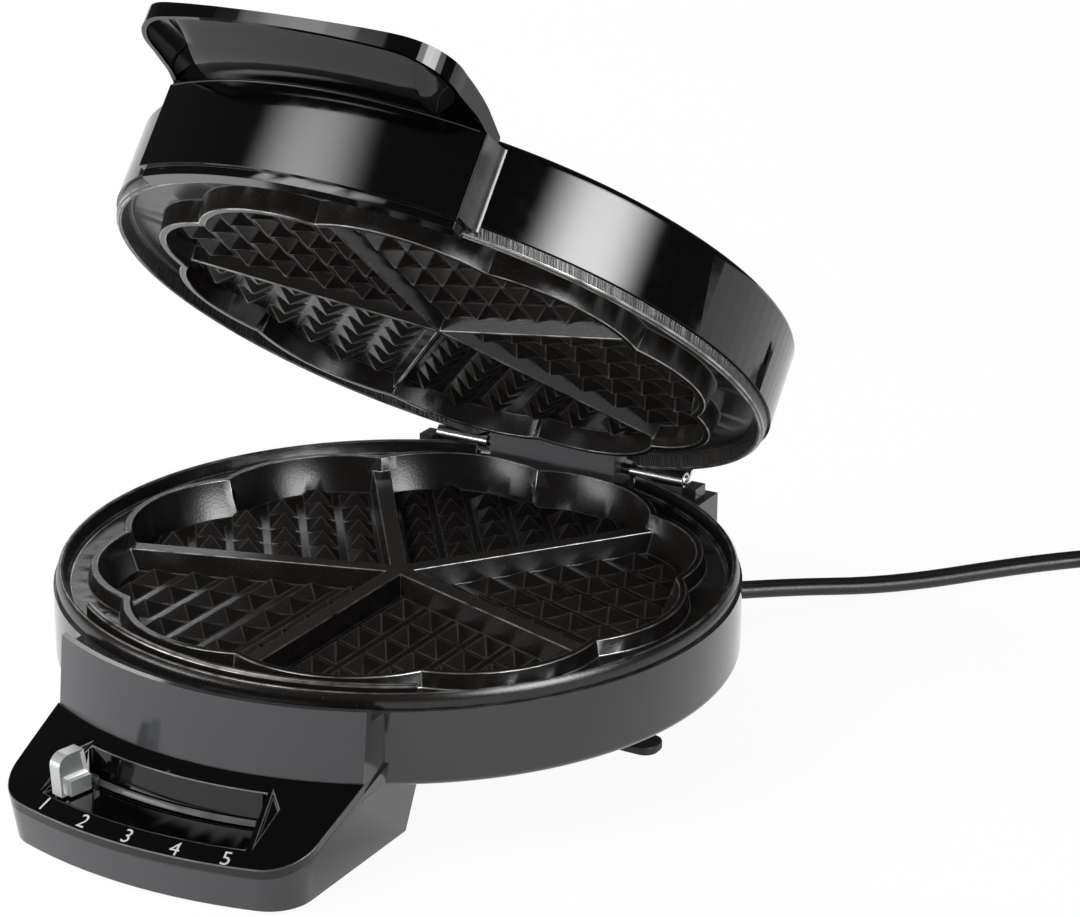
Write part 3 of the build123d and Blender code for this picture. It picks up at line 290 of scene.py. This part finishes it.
def lens_plastic(name, hex_colour):
    # Dyed clear polycarbonate over an unlit lamp.
    material, tree = new_material(name)
    place = node(tree, "ShaderNodeTexCoord").outputs["Object"]
    facet = node(tree, "ShaderNodeTexVoronoi", {"Vector": place}, inputs={"Scale": 1 / 0.0012})
    bump = node(tree, "ShaderNodeBump", {"Height": facet.outputs["Distance"]}, inputs={"Strength": 0.2, "Distance": 0.0002})
    skin = node(tree, "ShaderNodeBsdfPrincipled", {"Normal": bump.outputs[0]},
                inputs={"Base Color": linear(hex_colour), "Roughness": 0.08, "IOR": 1.58, "Coat Weight": 0.3})
    finish_material(tree, skin)
    return material


def add_piece(mesh, name, body):
    piece = bpy.data.objects.new(name, mesh)
    bpy.context.scene.collection.objects.link(piece)
    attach(piece, body)
    return piece


def body_of(cad_node):
    return frame["nodes"][cad_node].get("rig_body")


def dress(cad_node, material, bevel=0.0004, angle=30.0, segments=2, wear_and_painted_highlight=None):
    # Copy of the CAD mesh, merged, with rounded edges and smooth walls.
    source = frame["nodes"][cad_node]
    bm = bmesh.new()
    bm.from_mesh(source.data)
    bmesh.ops.remove_doubles(bm, verts=bm.verts, dist=2e-6)
    bmesh.ops.dissolve_limit(bm, angle_limit=math.radians(0.4), verts=bm.verts, edges=bm.edges)
    # A bevel folds many-sided hollow faces over their hollows, so these are cut into plain ones.
    hollow = [f for f in bm.faces if len(f.verts) > 60 or (len(f.verts) == 7 and abs(f.normal.z) > 0.99)]
    bmesh.ops.connect_verts_concave(bm, faces=hollow)
    mesh = bpy.data.meshes.new(cad_node + "_skin")
    bm.to_mesh(mesh)
    bm.free()
    mesh.shade_smooth()
    mesh.set_sharp_from_angle(angle=math.radians(angle))
    piece = add_piece(mesh, cad_node + "_skin", body_of(cad_node))
    mesh.materials.append(material)
    if bevel > 0:
        soften = piece.modifiers.new("Edges", "BEVEL")
        soften.width = bevel
        soften.segments = segments
        soften.limit_method = "ANGLE"
        soften.angle_limit = math.radians(angle)
        soften.use_clamp_overlap = not wear_and_painted_highlight
        soften.harden_normals = True
        # The rounded edges can take a second material, which paints wear and a painted highlight on them.
        if wear_and_painted_highlight:
            mesh.materials.append(wear_and_painted_highlight)
            soften.material = 1
    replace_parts(piece, cad_node)
    return piece


def paint(cad_node, material):
    # The CAD node stays as it is and takes a finish.
    mesh = frame["nodes"][cad_node].data
    mesh.materials.clear()
    mesh.materials.append(material)


def row(x, y, z):
    # Millimetres about the drum axis to metres in the row frame.
    return Vector((x / 1000, y / 1000 + drum_axis.y, z / 1000))


def lid_row(bm):
    # Millimetres of the closed lid about the drum axis to the opened lid in the row frame.
    swing = Matrix.Translation(hinge) @ Matrix.Rotation(-LID_REST, 4, "X") @ Matrix.Translation(-hinge)
    place = swing @ Matrix.Translation((0, drum_axis.y, 0)) @ Matrix.Scale(0.001, 4)
    bmesh.ops.transform(bm, matrix=place, verts=bm.verts)


def eased(points, at, reach):
    # Height along a profile of straight runs, averaged over a reach so that its corners are soft.
    total = 0.0
    for k in range(-4, 5):
        x = min(max(at + reach * k / 4, points[0][0]), points[-1][0])
        for (xa, ya), (xb, yb) in zip(points, points[1:]):
            if x <= xb:
                total += ya + (yb - ya) * (x - xa) / (xb - xa)
                break
    return total / 9


def spun(points, steps=128, angle=360.0, start=0.0):
    # Ring or disc turned about the drum axis from a closed profile of (radius, height).
    bm = bmesh.new()
    verts = [bm.verts.new(Matrix.Rotation(math.radians(start), 3, "Z") @ Vector((r, 0, z))) for r, z in points]
    edges = [bm.edges.new((a, b)) for a, b in zip(verts, verts[1:] + verts[:1])]
    full = angle == 360.0
    bmesh.ops.spin(bm, geom=verts + edges, cent=(0, 0, 0), axis=(0, 0, 1), dvec=(0, 0, 0), angle=math.radians(angle),
                   steps=steps, use_merge=full, use_duplicate=False)
    if not full:
        bmesh.ops.holes_fill(bm, edges=[e for e in bm.edges if e.is_boundary])
    bmesh.ops.remove_doubles(bm, verts=bm.verts, dist=0.001)
    bmesh.ops.recalc_face_normals(bm, faces=bm.faces)
    return bm


def settle(bm, name, body, material, sharp=35.0, bevel=0.0, segments=3):
    # Mesh, smooth shading and rounded edges of a finished piece.
    mesh = bpy.data.meshes.new(name)
    bm.to_mesh(mesh)
    bm.free()
    mesh.shade_smooth()
    mesh.set_sharp_from_angle(angle=math.radians(sharp))
    mesh.materials.append(material)
    piece = add_piece(mesh, name, body)
    if bevel > 0:
        soften = piece.modifiers.new("Edges", "BEVEL")
        soften.width = bevel
        soften.segments = segments
        soften.limit_method = "ANGLE"
        soften.angle_limit = math.radians(sharp)
        soften.harden_normals = True
    return piece


class WaffleFinishes(bpy.types.PropertyGroup):
    housing_dark: bpy.props.StringProperty(name="Housing dark", description="Darker tone of the satin housing", default="#434447")
    housing_light: bpy.props.StringProperty(name="Housing light", description="Lighter tone of the satin housing", default="#4b4c4f")
    housing_roughness: bpy.props.FloatProperty(name="Housing roughness", description="Satin skin of the housing",
                                               default=0.11, min=0.0, max=1.0, subtype="FACTOR")
    lid_black: bpy.props.StringProperty(name="Lid black", description="Body colour of the polished lid", default="#070708")
    coat_dark: bpy.props.StringProperty(name="Coat dark", description="Non-stick coat, dark tone", default="#1d1a18")
    coat_light: bpy.props.StringProperty(name="Coat light", description="Non-stick coat, light tone", default="#2a2623")
    coat_fleck: bpy.props.StringProperty(name="Coat flecks", description="Bright flecks in the coat", default="#6e6c6a")
    coat_roughness: bpy.props.FloatProperty(name="Coat roughness", description="Gloss of the non-stick coat",
                                            default=0.25, min=0.0, max=1.0, subtype="FACTOR")
    edge_round: bpy.props.FloatProperty(name="Edge rounding", description="Radius on moulded edges", default=0.0004,
                                        min=0.0, unit="LENGTH")


class WaffleCord(bpy.types.PropertyGroup):
    width: bpy.props.FloatProperty(name="Cord width", description="Width of the flat twin cord", default=0.0068, unit="LENGTH")
    height: bpy.props.FloatProperty(name="Cord height", description="Thickness of the flat twin cord", default=0.0044, unit="LENGTH")
    digit_height: bpy.props.FloatProperty(name="Digit height", description="Height of the scale digits", default=0.0042, unit="LENGTH")


class WAFFLE_OT_stage(bpy.types.Operator):
    """Pale floor, soft lights and the camera"""
    bl_idname = "waffle.stage"
    bl_label = "Stage"

    def execute(self, context):
        scene = context.scene
        scene.view_settings.view_transform = "Standard"
        azimuth, elevation, roll = math.radians(29.436), math.radians(20.268), math.radians(0.555)
        back = Vector((math.sin(azimuth) * math.cos(elevation), -math.cos(azimuth) * math.cos(elevation), math.sin(elevation)))
        right = Vector((math.cos(azimuth), math.sin(azimuth), 0))
        up = back.cross(right)
        right_rolled = right * math.cos(roll) + up * math.sin(roll)
        up_rolled = up * math.cos(roll) - right * math.sin(roll)
        data = bpy.data.cameras.new("photo_camera")
        data.lens = 106.7
        data.sensor_width = 36.0
        data.clip_start = 0.05
        camera = bpy.data.objects.new("photo_camera", data)
        scene.collection.objects.link(camera)
        turn = Matrix((right_rolled, up_rolled, back)).transposed().to_4x4()
        camera.matrix_world = Matrix.Translation(row(-4.406, 89.179, 47.0) + back * 0.991138) @ turn
        scene.camera = camera

        bm = bmesh.new()
        bmesh.ops.create_grid(bm, x_segments=2, y_segments=2, size=6.0)
        mesh = bpy.data.meshes.new("floor")
        bm.to_mesh(mesh)
        bm.free()
        floor = bpy.data.objects.new("floor", mesh)
        scene.collection.objects.link(floor)
        material, tree = new_material("pale_floor")
        path = node(tree, "ShaderNodeLightPath")
        shown = node(tree, "ShaderNodeMath", {0: path.outputs["Is Camera Ray"], 1: path.outputs["Is Glossy Ray"]},
                     operation="MAXIMUM")
        lit = node(tree, "ShaderNodeBsdfDiffuse", inputs={"Color": (0.9, 0.9, 0.9, 1.0)})
        glow = node(tree, "ShaderNodeEmission", inputs={"Color": (1, 1, 1, 1), "Strength": 1.05})
        seen = node(tree, "ShaderNodeMixShader", {1: lit.outputs[0], 2: glow.outputs[0]}, inputs={0: 0.9})
        mixed = node(tree, "ShaderNodeMixShader", {0: shown.outputs[0], 1: lit.outputs[0], 2: seen.outputs[0]})
        finish_material(tree, mixed)
        mesh.materials.append(material)

        world = bpy.data.worlds.new("studio")
        scene.world = world
        world.use_nodes = True
        tree = world.node_tree
        tree.nodes.clear()
        path = node(tree, "ShaderNodeLightPath")
        white = node(tree, "ShaderNodeBackground", inputs={"Color": (1, 1, 1, 1), "Strength": 1.0})
        fill = node(tree, "ShaderNodeBackground", inputs={"Color": (1, 1, 1, 1), "Strength": 0.26})
        dark = node(tree, "ShaderNodeBackground", inputs={"Color": (1, 1, 1, 1), "Strength": 0.06})
        soft = node(tree, "ShaderNodeMixShader", {0: path.outputs["Is Glossy Ray"], 1: fill.outputs[0], 2: dark.outputs[0]})
        mixed = node(tree, "ShaderNodeMixShader", {0: path.outputs["Is Camera Ray"], 1: soft.outputs[0], 2: white.outputs[0]})
        node(tree, "ShaderNodeOutputWorld", {"Surface": mixed.outputs[0]})

        # Soft box high at the front left, a wide one at the right, a low one in front and one behind.
        self.softbox("box_front_left", (-0.39, -0.67, 0.93), (0.0, -0.1, 0.15), 1.02, 0.70, 7.0)
        self.softbox("box_right", (1.22, -0.26, 0.66), (0.06, 0.0, 0.12), 1.35, 1.0, 17.0, lights_matt=False)
        self.softbox("box_low_front", (-0.85, -0.95, 0.12), (0.0, 0.0, 0.06), 1.4, 0.42, 9.5)
        self.softbox("box_rear_left", (-0.75, 0.95, 0.75), (0.0, 0.05, 0.05), 0.9, 0.5, 3.5)
        self.softbox("box_rear_high", (-0.42, 0.6, 1.4), (0.0, 0.05, 0.15), 0.55, 0.4, 4.0, lights_matt=False)
        return {"FINISHED"}

    def softbox(self, name, place, aim, width, height, radiance, lights_matt=True):
        # Area lamp whose light fades towards its edges, as a diffuser's does.
        data = bpy.data.lights.new(name, "AREA")
        data.shape = "RECTANGLE"
        data.size = width
        data.size_y = height
        data.energy = radiance * math.pi * width * height
        data.use_nodes = True
        tree = data.node_tree
        tree.nodes.clear()
        spot = node(tree, "ShaderNodeNewGeometry").outputs["Parametric"]
        off = node(tree, "ShaderNodeVectorMath", {0: spot}, operation="SUBTRACT", inputs={1: (0.5, 0.5, 0.0)})
        flat = node(tree, "ShaderNodeVectorMath", {0: off.outputs[0]}, operation="MULTIPLY", inputs={1: (1.0, 1.0, 0.0)})
        far = node(tree, "ShaderNodeVectorMath", {0: flat.outputs[0]}, operation="LENGTH")
        fade = node(tree, "ShaderNodeMapRange", {"Value": far.outputs["Value"]}, interpolation_type="SMOOTHSTEP",
                    inputs={"From Min": 0.5, "From Max": 0.12, "To Min": 0.0, "To Max": 1.0})
        shine = node(tree, "ShaderNodeEmission", {"Strength": fade.outputs[0]})
        node(tree, "ShaderNodeOutputLight", {"Surface": shine.outputs[0]})
        light = bpy.data.objects.new(name, data)
        bpy.context.scene.collection.objects.link(light)
        light.location = place
        light.visible_diffuse = lights_matt
        light.rotation_euler = (Vector(aim) - Vector(place)).to_track_quat("-Z", "Y").to_euler()


class WAFFLE_OT_cord(bpy.types.Operator):
    """Flat twin cord from the strain relief to the coil and the plug"""
    bl_idname = "waffle.cord"
    bl_label = "Cord, coil and plug"

    def execute(self, context):
        props = context.scene.waffle_cord
        rubber = moulded("pvc_cord_sheath", "#17171a", 0.42, 0.0008, 0.15)
        low = props.height * 500 + 0.1
        layer = props.height * 1000 + 0.15
        points = [(44.799, 102.799, 7.6), (63.0, 121.0, 7.0), (89.0, 151.0, low), (119.0, 190.0, low), (144.5, 215.0, low)]
        entry = Vector((165.0, 235.5, 0))
        heading = (entry - Vector((144.5, 215.0, 0))).normalized()
        side = Vector((heading.y, -heading.x, 0))
        outer, pitch = 41.3, 7.7
        centre = entry + side * outer
        turns = [(0, outer, 0, 0), (pitch / 2, outer - pitch / 2, 0, 0), (0, outer - pitch, 0, 1),
                 (-pitch / 2, outer - pitch / 2, 1, 1), (0, outer, 1, 1), (-pitch / 2, outer + pitch / 2, 1, 1)]
        steps = 9
        swell = 1 / math.cos(math.pi / steps / 2)
        points.append(tuple(entry - heading * 8.0 + Vector((0, 0, low))))
        for k, (offset, radius, z0, z1) in enumerate(turns):
            way = 1 if k % 2 == 0 else -1
            for i in range(steps):
                a = math.pi * (i + 0.5) / steps
                spot = centre + side * (offset - way * radius * swell * math.cos(a)) + heading * (way * radius * swell * math.sin(a))
                points.append((spot.x, spot.y, low + layer * (z0 + (z1 - z0) * (i + 0.5) / steps)))
        leave = centre + side * (-pitch / 2 - outer - pitch / 2)
        points.append((*(leave + heading * 2.0).to_2d(), low + layer + 1.5))
        points.append((*(leave + heading * 6.8).to_2d(), 11.12))
        curve = bpy.data.curves.new("cord_route", "CURVE")
        curve.dimensions = "3D"
        curve.resolution_u = 6
        spline = curve.splines.new("NURBS")
        spline.points.add(len(points) - 1)
        for spot, (x, y, z) in zip(spline.points, points):
            spot.co = (*row(x, y, z), 1.0)
        spline.order_u = 3
        spline.use_endpoint_u = True
        route = bpy.data.objects.new("cord_route", curve)
        line = bpy.data.meshes.new_from_object(route)
        path = [v.co.copy() for v in line.vertices]
        bpy.data.objects.remove(route)
        bpy.data.meshes.remove(line)

        half, thick = props.width / 2, props.height / 2
        profile = []
        for i in range(24):
            a = 2 * math.pi * i / 24
            across = math.cos(a)
            lobe = math.sqrt(max(0.0, 1 - (2 * abs(across) - 1) ** 2)) if abs(across) > 0.5 else 1 - 0.28 * (1 - 2 * abs(across)) ** 2
            profile.append((half * across, thick * math.copysign(lobe if abs(math.sin(a)) > 1e-6 else 0.0, math.sin(a))))
        bm = bmesh.new()
        ring = None
        for i, spot in enumerate(path):
            ahead = path[min(i + 1, len(path) - 1)] - path[max(i - 1, 0)]
            ahead.normalize()
            across = ahead.cross(Vector((0, 0, 1))).normalized()
            over = across.cross(ahead)
            places = [spot + across * u + over * v for u, v in profile]
            if ring is None:
                ring = [bm.verts.new(p) for p in places]
                edges = [bm.edges.new((ring[k], ring[(k + 1) % len(ring)])) for k in range(len(ring))]
                bm.faces.new(reversed(ring))
            else:
                made = bmesh.ops.extrude_edge_only(bm, edges=edges)
                new_edges = [g for g in made["geom"] if isinstance(g, bmesh.types.BMEdge)]
                new_verts = [g for g in made["geom"] if isinstance(g, bmesh.types.BMVert)]
                partner = {}
                for v in new_verts:
                    for e in v.link_edges:
                        other = e.other_vert(v)
                        if other in ring:
                            partner[ring.index(other)] = v
                ring = [partner[k] for k in range(len(places))]
                for v, p in zip(ring, places):
                    v.co = p
                edges = [e for e in new_edges if e.verts[0] in ring and e.verts[1] in ring]
        bm.faces.new(ring)
        bmesh.ops.recalc_face_normals(bm, faces=bm.faces)
        mesh = bpy.data.meshes.new("mains_cord")
        bm.to_mesh(mesh)
        bm.free()
        mesh.shade_smooth()
        mesh.set_sharp_from_angle(angle=math.radians(50))
        mesh.materials.append(rubber)
        cord = add_piece(mesh, "mains_cord", "base")
        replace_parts(cord, "power_cord", "cord_coil")
        plug = dress("mains_plug", moulded("moulded_pvc_plug", "#141416", 0.45), 0.0015, 40, 3)
        pins = dress("plug_pins", plated_steel("nickel_plug_pins", "#c9c4b8", 0.2), 0.0)
        gland = dress("cord_gland", moulded("rubber_strain_relief", "#151517", 0.5), 0.0003, 35)
        return {"FINISHED"}


class WAFFLE_OT_base(bpy.types.Operator):
    """Housing, covers, feet, hinge block and steel parts of the base"""
    bl_idname = "waffle.base"
    bl_label = "Base"

    def execute(self, context):
        props = context.scene.waffle_finishes
        satin = satin_anthracite_abs(props)
        matte = moulded("matte_black_pp", "#1b1b1d", 0.55)
        rubber = moulded("moulded_rubber_pads", "#161617", 0.7)
        steel = plated_steel()
        sheet = plated_steel("aluminised_sheet", "#a8a9ab", 0.4)
        ceramic = moulded("glazed_ceramic", "#d8d2c4", 0.35)
        dress("base_housing", satin, props.edge_round)
        # Painted light: the hinge block is the housing's grey plastic, given a lighter grey to make up for the shade it
        # sits in.
        dress("hinge_block", moulded("satin_hinge_abs_painted_light", "#77787b", 0.3), 0.0006)
        dress("rear_pedestal", matte, 0.0005)
        dress("cord_hooks", matte, 0.0005)
        dress("hinge_pin", steel, 0.0)
        dress("hinge_leaves", steel, 0.0001)
        for name in ("box_cover",):
            paint(name, matte)
        for name in ("front_feet", "rear_feet"):
            paint(name, rubber)
        for name in ("lower_plate_screws", "upper_plate_screws", "hinge_leaf_screws", "lever_arm", "thermostat_spindle",
                     "lower_element", "upper_element"):
            paint(name, steel)
        for name in ("lower_heat_shield", "upper_heat_shield"):
            paint(name, sheet)
        for name in ("thermostat_body", "thermal_fuse", "terminal_block"):
            paint(name, ceramic)
        return {"FINISHED"}


class WAFFLE_OT_plates(bpy.types.Operator):
    """Both heart plates with their non-stick coat"""
    bl_idname = "waffle.plates"
    bl_label = "Heart plates"

    def execute(self, context):
        props = context.scene.waffle_finishes
        coat = nonstick_cast_aluminium(props)
        # The plates' rounded edges take a crest material with wear and a painted highlight.
        dress("lower_plate", coat, 0.0003, 28, 2, wear_and_highlight_coat_edges("wear_and_highlight_lower_crests", 0.0425))
        coat = nonstick_cast_aluminium(props, "nonstick_cast_upper_plate", True)
        dress("upper_plate", coat, 0.0003, 28, 2, wear_and_highlight_coat_edges("wear_and_highlight_upper_crests", 0.0490, True))
        return {"FINISHED"}


class WAFFLE_OT_lid(bpy.types.Operator):
    """Polished lid with its hooded handle and lamp lenses"""
    bl_idname = "waffle.lid"
    bl_label = "Lid"

    def execute(self, context):
        props = context.scene.waffle_finishes
        black = polished_black_abs(props)
        dress("lid_ring", black, 0.0005)
        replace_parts(self.top_disc(black), "lid_cover")
        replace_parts(self.hood(black), "lid_cover")
        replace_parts(self.seam_bead(black), "lid_cover")
        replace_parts(self.nose_rise(black), "lid_cover")
        self.corner_fillets(black)
        dress("lamp_lens_red", lens_plastic("dyed_red_polycarbonate", "#8a1410"), 0.0004)
        dress("lamp_lens_green", lens_plastic("dyed_green_polycarbonate", "#1c6a2e"), 0.0004)
        return {"FINISHED"}

    def top_disc(self, black):
        outer = [(98.2, 73.2), (98.2, 73.8), (97.9, 74.5), (97.3, 75.0), (96.2, 75.5), (93.0, 75.85), (84.0, 76.4), (68.7, 77.0),
                 (50.0, 77.7), (34.4, 78.15), (18.0, 78.35), (0.0, 78.4)]
        inner = [(0.0, 76.2), (34.4, 76.0), (68.7, 74.8), (92.5, 73.6), (94.6, 73.2)]
        bm = spun(outer + inner)
        lid_row(bm)
        return settle(bm, "lid_top_disc", "lid", black, 50.0)

    def hood(self, black):
        # Plan of the hood, then its slab with a recess below, cut across and bent to the profiles.
        seam, front = 73.2, -131.5
        arc = [(x, front + 150 - math.sqrt(150**2 - x**2)) for x in (-34, -25.5, -17, -8.5, 0, 8.5, 17, 25.5, 34)]
        corner = front + 150 - math.sqrt(150**2 - 47.5**2)
        plan = [(46.0, -78.0), (-46.0, -78.0), (-49.3, -86.0), (-47.5, -108.0), (-47.5, corner), *arc, (47.5, corner),
                (47.5, -108.0), (49.3, -86.0)]
        bm = bmesh.new()
        verts = [bm.verts.new((x, y, 0)) for x, y in plan]
        bm.faces.new(verts)
        bmesh.ops.bevel(bm, geom=[verts[4], verts[14]], offset=12.6, segments=12, profile=0.5, affect="VERTICES", material=-1)
        made = bmesh.ops.extrude_face_region(bm, geom=bm.faces[:])
        bmesh.ops.translate(bm, vec=(0, 0, 3), verts=[g for g in made["geom"] if isinstance(g, bmesh.types.BMVert)])
        bmesh.ops.holes_fill(bm, edges=[e for e in bm.edges if e.is_boundary])
        bmesh.ops.recalc_face_normals(bm, faces=bm.faces)
        low = [f for f in bm.faces if all(abs(v.co.z) < 0.01 for v in f.verts)]
        bmesh.ops.inset_region(bm, faces=low, thickness=1.4, use_boundary=True, use_even_offset=True)
        made = bmesh.ops.extrude_face_region(bm, geom=low)
        bmesh.ops.delete(bm, geom=low, context="FACES_ONLY")
        bmesh.ops.translate(bm, vec=(0, 0, 1), verts=[g for g in made["geom"] if isinstance(g, bmesh.types.BMVert)])
        cuts = {(0, round(v.co.y, 3)) for v in bm.verts} | {(0, front + 0.9 * k) for k in range(1, 58)}
        cuts |= {(1, side * x) for x in (0, 3, 6, 9, 12, 15, 18, 21, 24, 27, 30, 33, *range(35, 47)) for side in (-1, 1)}
        for across, at in sorted(cuts):
            bmesh.ops.bisect_plane(bm, geom=bm.verts[:] + bm.edges[:] + bm.faces[:], dist=0.0005,
                                   plane_co=(at * across, at * (1 - across), 0), plane_no=(across, 1 - across, 0))
        top = [(-2.5, 6.8), (1.5, 8.1), (5.5, 8.8), (11.5, 9.0), (18.5, 8.8), (26.5, 8.1), (34.5, 6.6), (38.5, 5.2), (43.5, 3.0),
               (48.5, 1.2), (53.5, 0.2)]
        grip = [(-2.5, 7.2), (3.5, 7.2), (6.0, 6.4), (16.5, 0.9), (20.0, 0.0), (53.5, 0.0)]
        skirt = [(-2.5, 4.4), (3.5, 4.3), (16.5, 3.2), (26.0, 2.4), (34.5, 1.8), (39.5, 0.0), (53.5, 0.0)]
        for v in bm.verts:
            behind = v.co.y - front
            if v.co.z > 2:
                v.co.z = seam + eased(top, behind, 3.0)
            elif v.co.z > 0.5:
                share = min(max((42.0 - v.co.x) / 6.0, 0.0), max((37.5 + v.co.x) / 5.0, 0.0), 1.0)
                drop = (7.2 - eased(grip, 131.5 - math.hypot(v.co.x, v.co.y), 2.2)) * share * share * (3 - 2 * share)
                v.co.z = seam + 7.2 - drop - 3.8 * (max(0.0, abs(v.co.x) - 38.5) / 7.6) ** 2
            else:
                v.co.z = seam + eased(skirt, behind, 2.5)
        lid_row(bm)
        return settle(bm, "lid_hood", "lid", black, 35.0, 0.0007, 3)

    def corner_fillets(self, black):
        # Hollow fillets where the nose's sides run into the round wall, coloured with the painted highlight material: a
        # painted highlight line.
        start, turn, end = Vector((49.65, -92.8)), Vector((49.8, -84.9)), Vector((51.3, -83.75))
        curve = [start * (1 - t) ** 2 + turn * 2 * t * (1 - t) + end * t * t for t in (k / 12 for k in range(13))]
        bm = bmesh.new()
        for side in (1, -1):
            plan = [bm.verts.new((side * p.x, p.y, 49.6)) for p in (*curve, Vector((50.6, -81.0)), Vector((48.0, -82.0)))]
            made = bmesh.ops.extrude_face_region(bm, geom=[bm.faces.new(plan)])
            bmesh.ops.translate(bm, vec=(0, 0, 23.5), verts=[g for g in made["geom"] if isinstance(g, bmesh.types.BMVert)])
        bmesh.ops.holes_fill(bm, edges=[e for e in bm.edges if e.is_boundary])
        bmesh.ops.recalc_face_normals(bm, faces=bm.faces)
        lid_row(bm)
        return settle(bm, "nose_corner_fillets", "lid", painted_highlight_edges(), 40.0)

    def nose_rise(self, black):
        # The nose wall carried on up to the hood's roof, seen in the two end pockets of the grip.
        bm = spun([(95.0, 73.0), (105.5, 73.0), (105.5, 79.0), (95.0, 79.0)], 40, 53.0, 243.5)
        lid_row(bm)
        return settle(bm, "hood_back_wall", "lid", black, 35.0)

    def seam_bead(self, black):
        # Small fillet where the hood's underside meets the nose wall.
        points = [(105.3 + 0.55 * math.cos(a), 73.2 + 0.55 * math.sin(a)) for a in (math.pi * k / 4 for k in range(8))]
        bm = spun(points, 40, 54.0, 243.0)
        lid_row(bm)
        return settle(bm, "hood_seam_bead", "lid", black, 60.0)


class WAFFLE_OT_panel(bpy.types.Operator):
    """Control panel, its digits and the sliding knob"""
    bl_idname = "waffle.panel"
    bl_label = "Control panel"

    def execute(self, context):
        props = context.scene.waffle_finishes
        black = polished_black_abs(props)
        black.name = "polished_black_panel"
        # The panel's rounded edges take the painted highlight material.
        dress("control_panel", black, 0.00028, 35, 2, painted_highlight_edges())
        self.tray_back(black)
        self.slot_rail(black)
        self.knob_borders(dress("temperature_knob", silver_painted_abs(props), 0.0003, 25, 3))
        ink = moulded("white_screen_ink", "#e9e9e6", 0.5)
        slope = math.atan((26.6 - 13.3) / (134.8 - 107.4))
        for digit, (radius, degrees) in zip("12345", ((131.6, -12.9), (131.9, -6.4), (132.0, 0.0), (132.2, 6.35), (132.3, 12.6))):
            curve = bpy.data.curves.new("digit_" + digit, "FONT")
            curve.body = digit
            curve.size = context.scene.waffle_cord.digit_height / 0.69
            curve.align_x = "CENTER"
            curve.align_y = "CENTER"
            text = bpy.data.objects.new("digit_curve", curve)
            mesh = bpy.data.meshes.new_from_object(text)
            bpy.data.objects.remove(text)
            bm = bmesh.new()
            bm.from_mesh(mesh)
            bmesh.ops.triangulate(bm, faces=bm.faces)
            z = 26.6 - math.tan(slope) * (radius - 107.4) + 0.03
            place = (Matrix.Translation((0, drum_axis.y, 0)) @ Matrix.Rotation(math.radians(degrees), 4, "Z")
                     @ Matrix.Translation((0, -radius / 1000, z / 1000)) @ Matrix.Rotation(slope, 4, "X"))
            bmesh.ops.transform(bm, matrix=place, verts=bm.verts)
            flat = bpy.data.meshes.new("digit_" + digit)
            bm.to_mesh(flat)
            bm.free()
            flat.materials.append(ink)
            add_piece(flat, "digit_" + digit, "base")
        return {"FINISHED"}


    def knob_borders(self, piece):
        # Both flat sides of the fin sunk a little inside a raised border.
        bm = bmesh.new()
        bm.from_mesh(piece.data)
        way = Vector((math.cos(math.radians(12.2)), -math.sin(math.radians(12.2)), 0))
        for side in (1, -1):
            flat = [f for f in bm.faces if f.normal.dot(way) * side > 0.9]
            if flat:
                widest = max(flat, key=lambda f: f.calc_area())
                bmesh.ops.inset_region(bm, faces=[widest], thickness=0.0011, depth=-0.0005, use_boundary=True, use_even_offset=True)
        bm.to_mesh(piece.data)
        bm.free()
        piece.data.shade_smooth()
        piece.data.set_sharp_from_angle(angle=math.radians(25))

    def tray_back(self, black):
        # Leaning back wall of the tray, moulded with a wide draft.
        bm = spun([(112.2, 16.2), (114.3, 16.2), (112.65, 23.9), (112.2, 23.9)], 32, 27.6, 256.2)
        bmesh.ops.scale(bm, vec=(0.001, 0.001, 0.001), verts=bm.verts)
        bmesh.ops.translate(bm, vec=(0, drum_axis.y, 0), verts=bm.verts)
        return settle(bm, "tray_back_wall", "base", black, 30.0)

    def slot_rail(self, black):
        # Raised lip along the slot that the knob's stem follows, coloured with the painted highlight material: a
        # painted highlight strip.
        bm = spun([(114.9, 15.9), (116.0, 15.9), (115.7, 17.2), (114.9, 17.2)], 32, 26.6, 256.7)
        bmesh.ops.scale(bm, vec=(0.001, 0.001, 0.001), verts=bm.verts)
        bmesh.ops.translate(bm, vec=(0, drum_axis.y, 0), verts=bm.verts)
        return settle(bm, "slot_rail", "base", painted_highlight_edges(), 30.0)


class WAFFLE_PT_panel(bpy.types.Panel):
    bl_idname = "WAFFLE_PT_panel"
    bl_label = "Heart waffle maker"
    bl_space_type = "VIEW_3D"
    bl_region_type = "UI"
    bl_category = "Waffle maker"

    def draw(self, context):
        for name in STEPS:
            self.layout.operator(name)


STEPS = ("waffle.stage", "waffle.cord", "waffle.base", "waffle.plates", "waffle.lid", "waffle.panel")
CLASSES = (WaffleFinishes, WaffleCord, WAFFLE_OT_stage, WAFFLE_OT_cord, WAFFLE_OT_base, WAFFLE_OT_plates,
           WAFFLE_OT_lid, WAFFLE_OT_panel, WAFFLE_PT_panel)


def register():
    for item in CLASSES:
        bpy.utils.register_class(item)
    bpy.types.Scene.waffle_finishes = bpy.props.PointerProperty(type=WaffleFinishes)
    bpy.types.Scene.waffle_cord = bpy.props.PointerProperty(type=WaffleCord)


def unregister():
    del bpy.types.Scene.waffle_cord
    del bpy.types.Scene.waffle_finishes
    for item in reversed(CLASSES):
        bpy.utils.unregister_class(item)


def main():
    register()
    for step in STEPS:
        group, name = step.split(".")
        getattr(getattr(bpy.ops, group), name)()


if __name__ == "__main__":
    main()
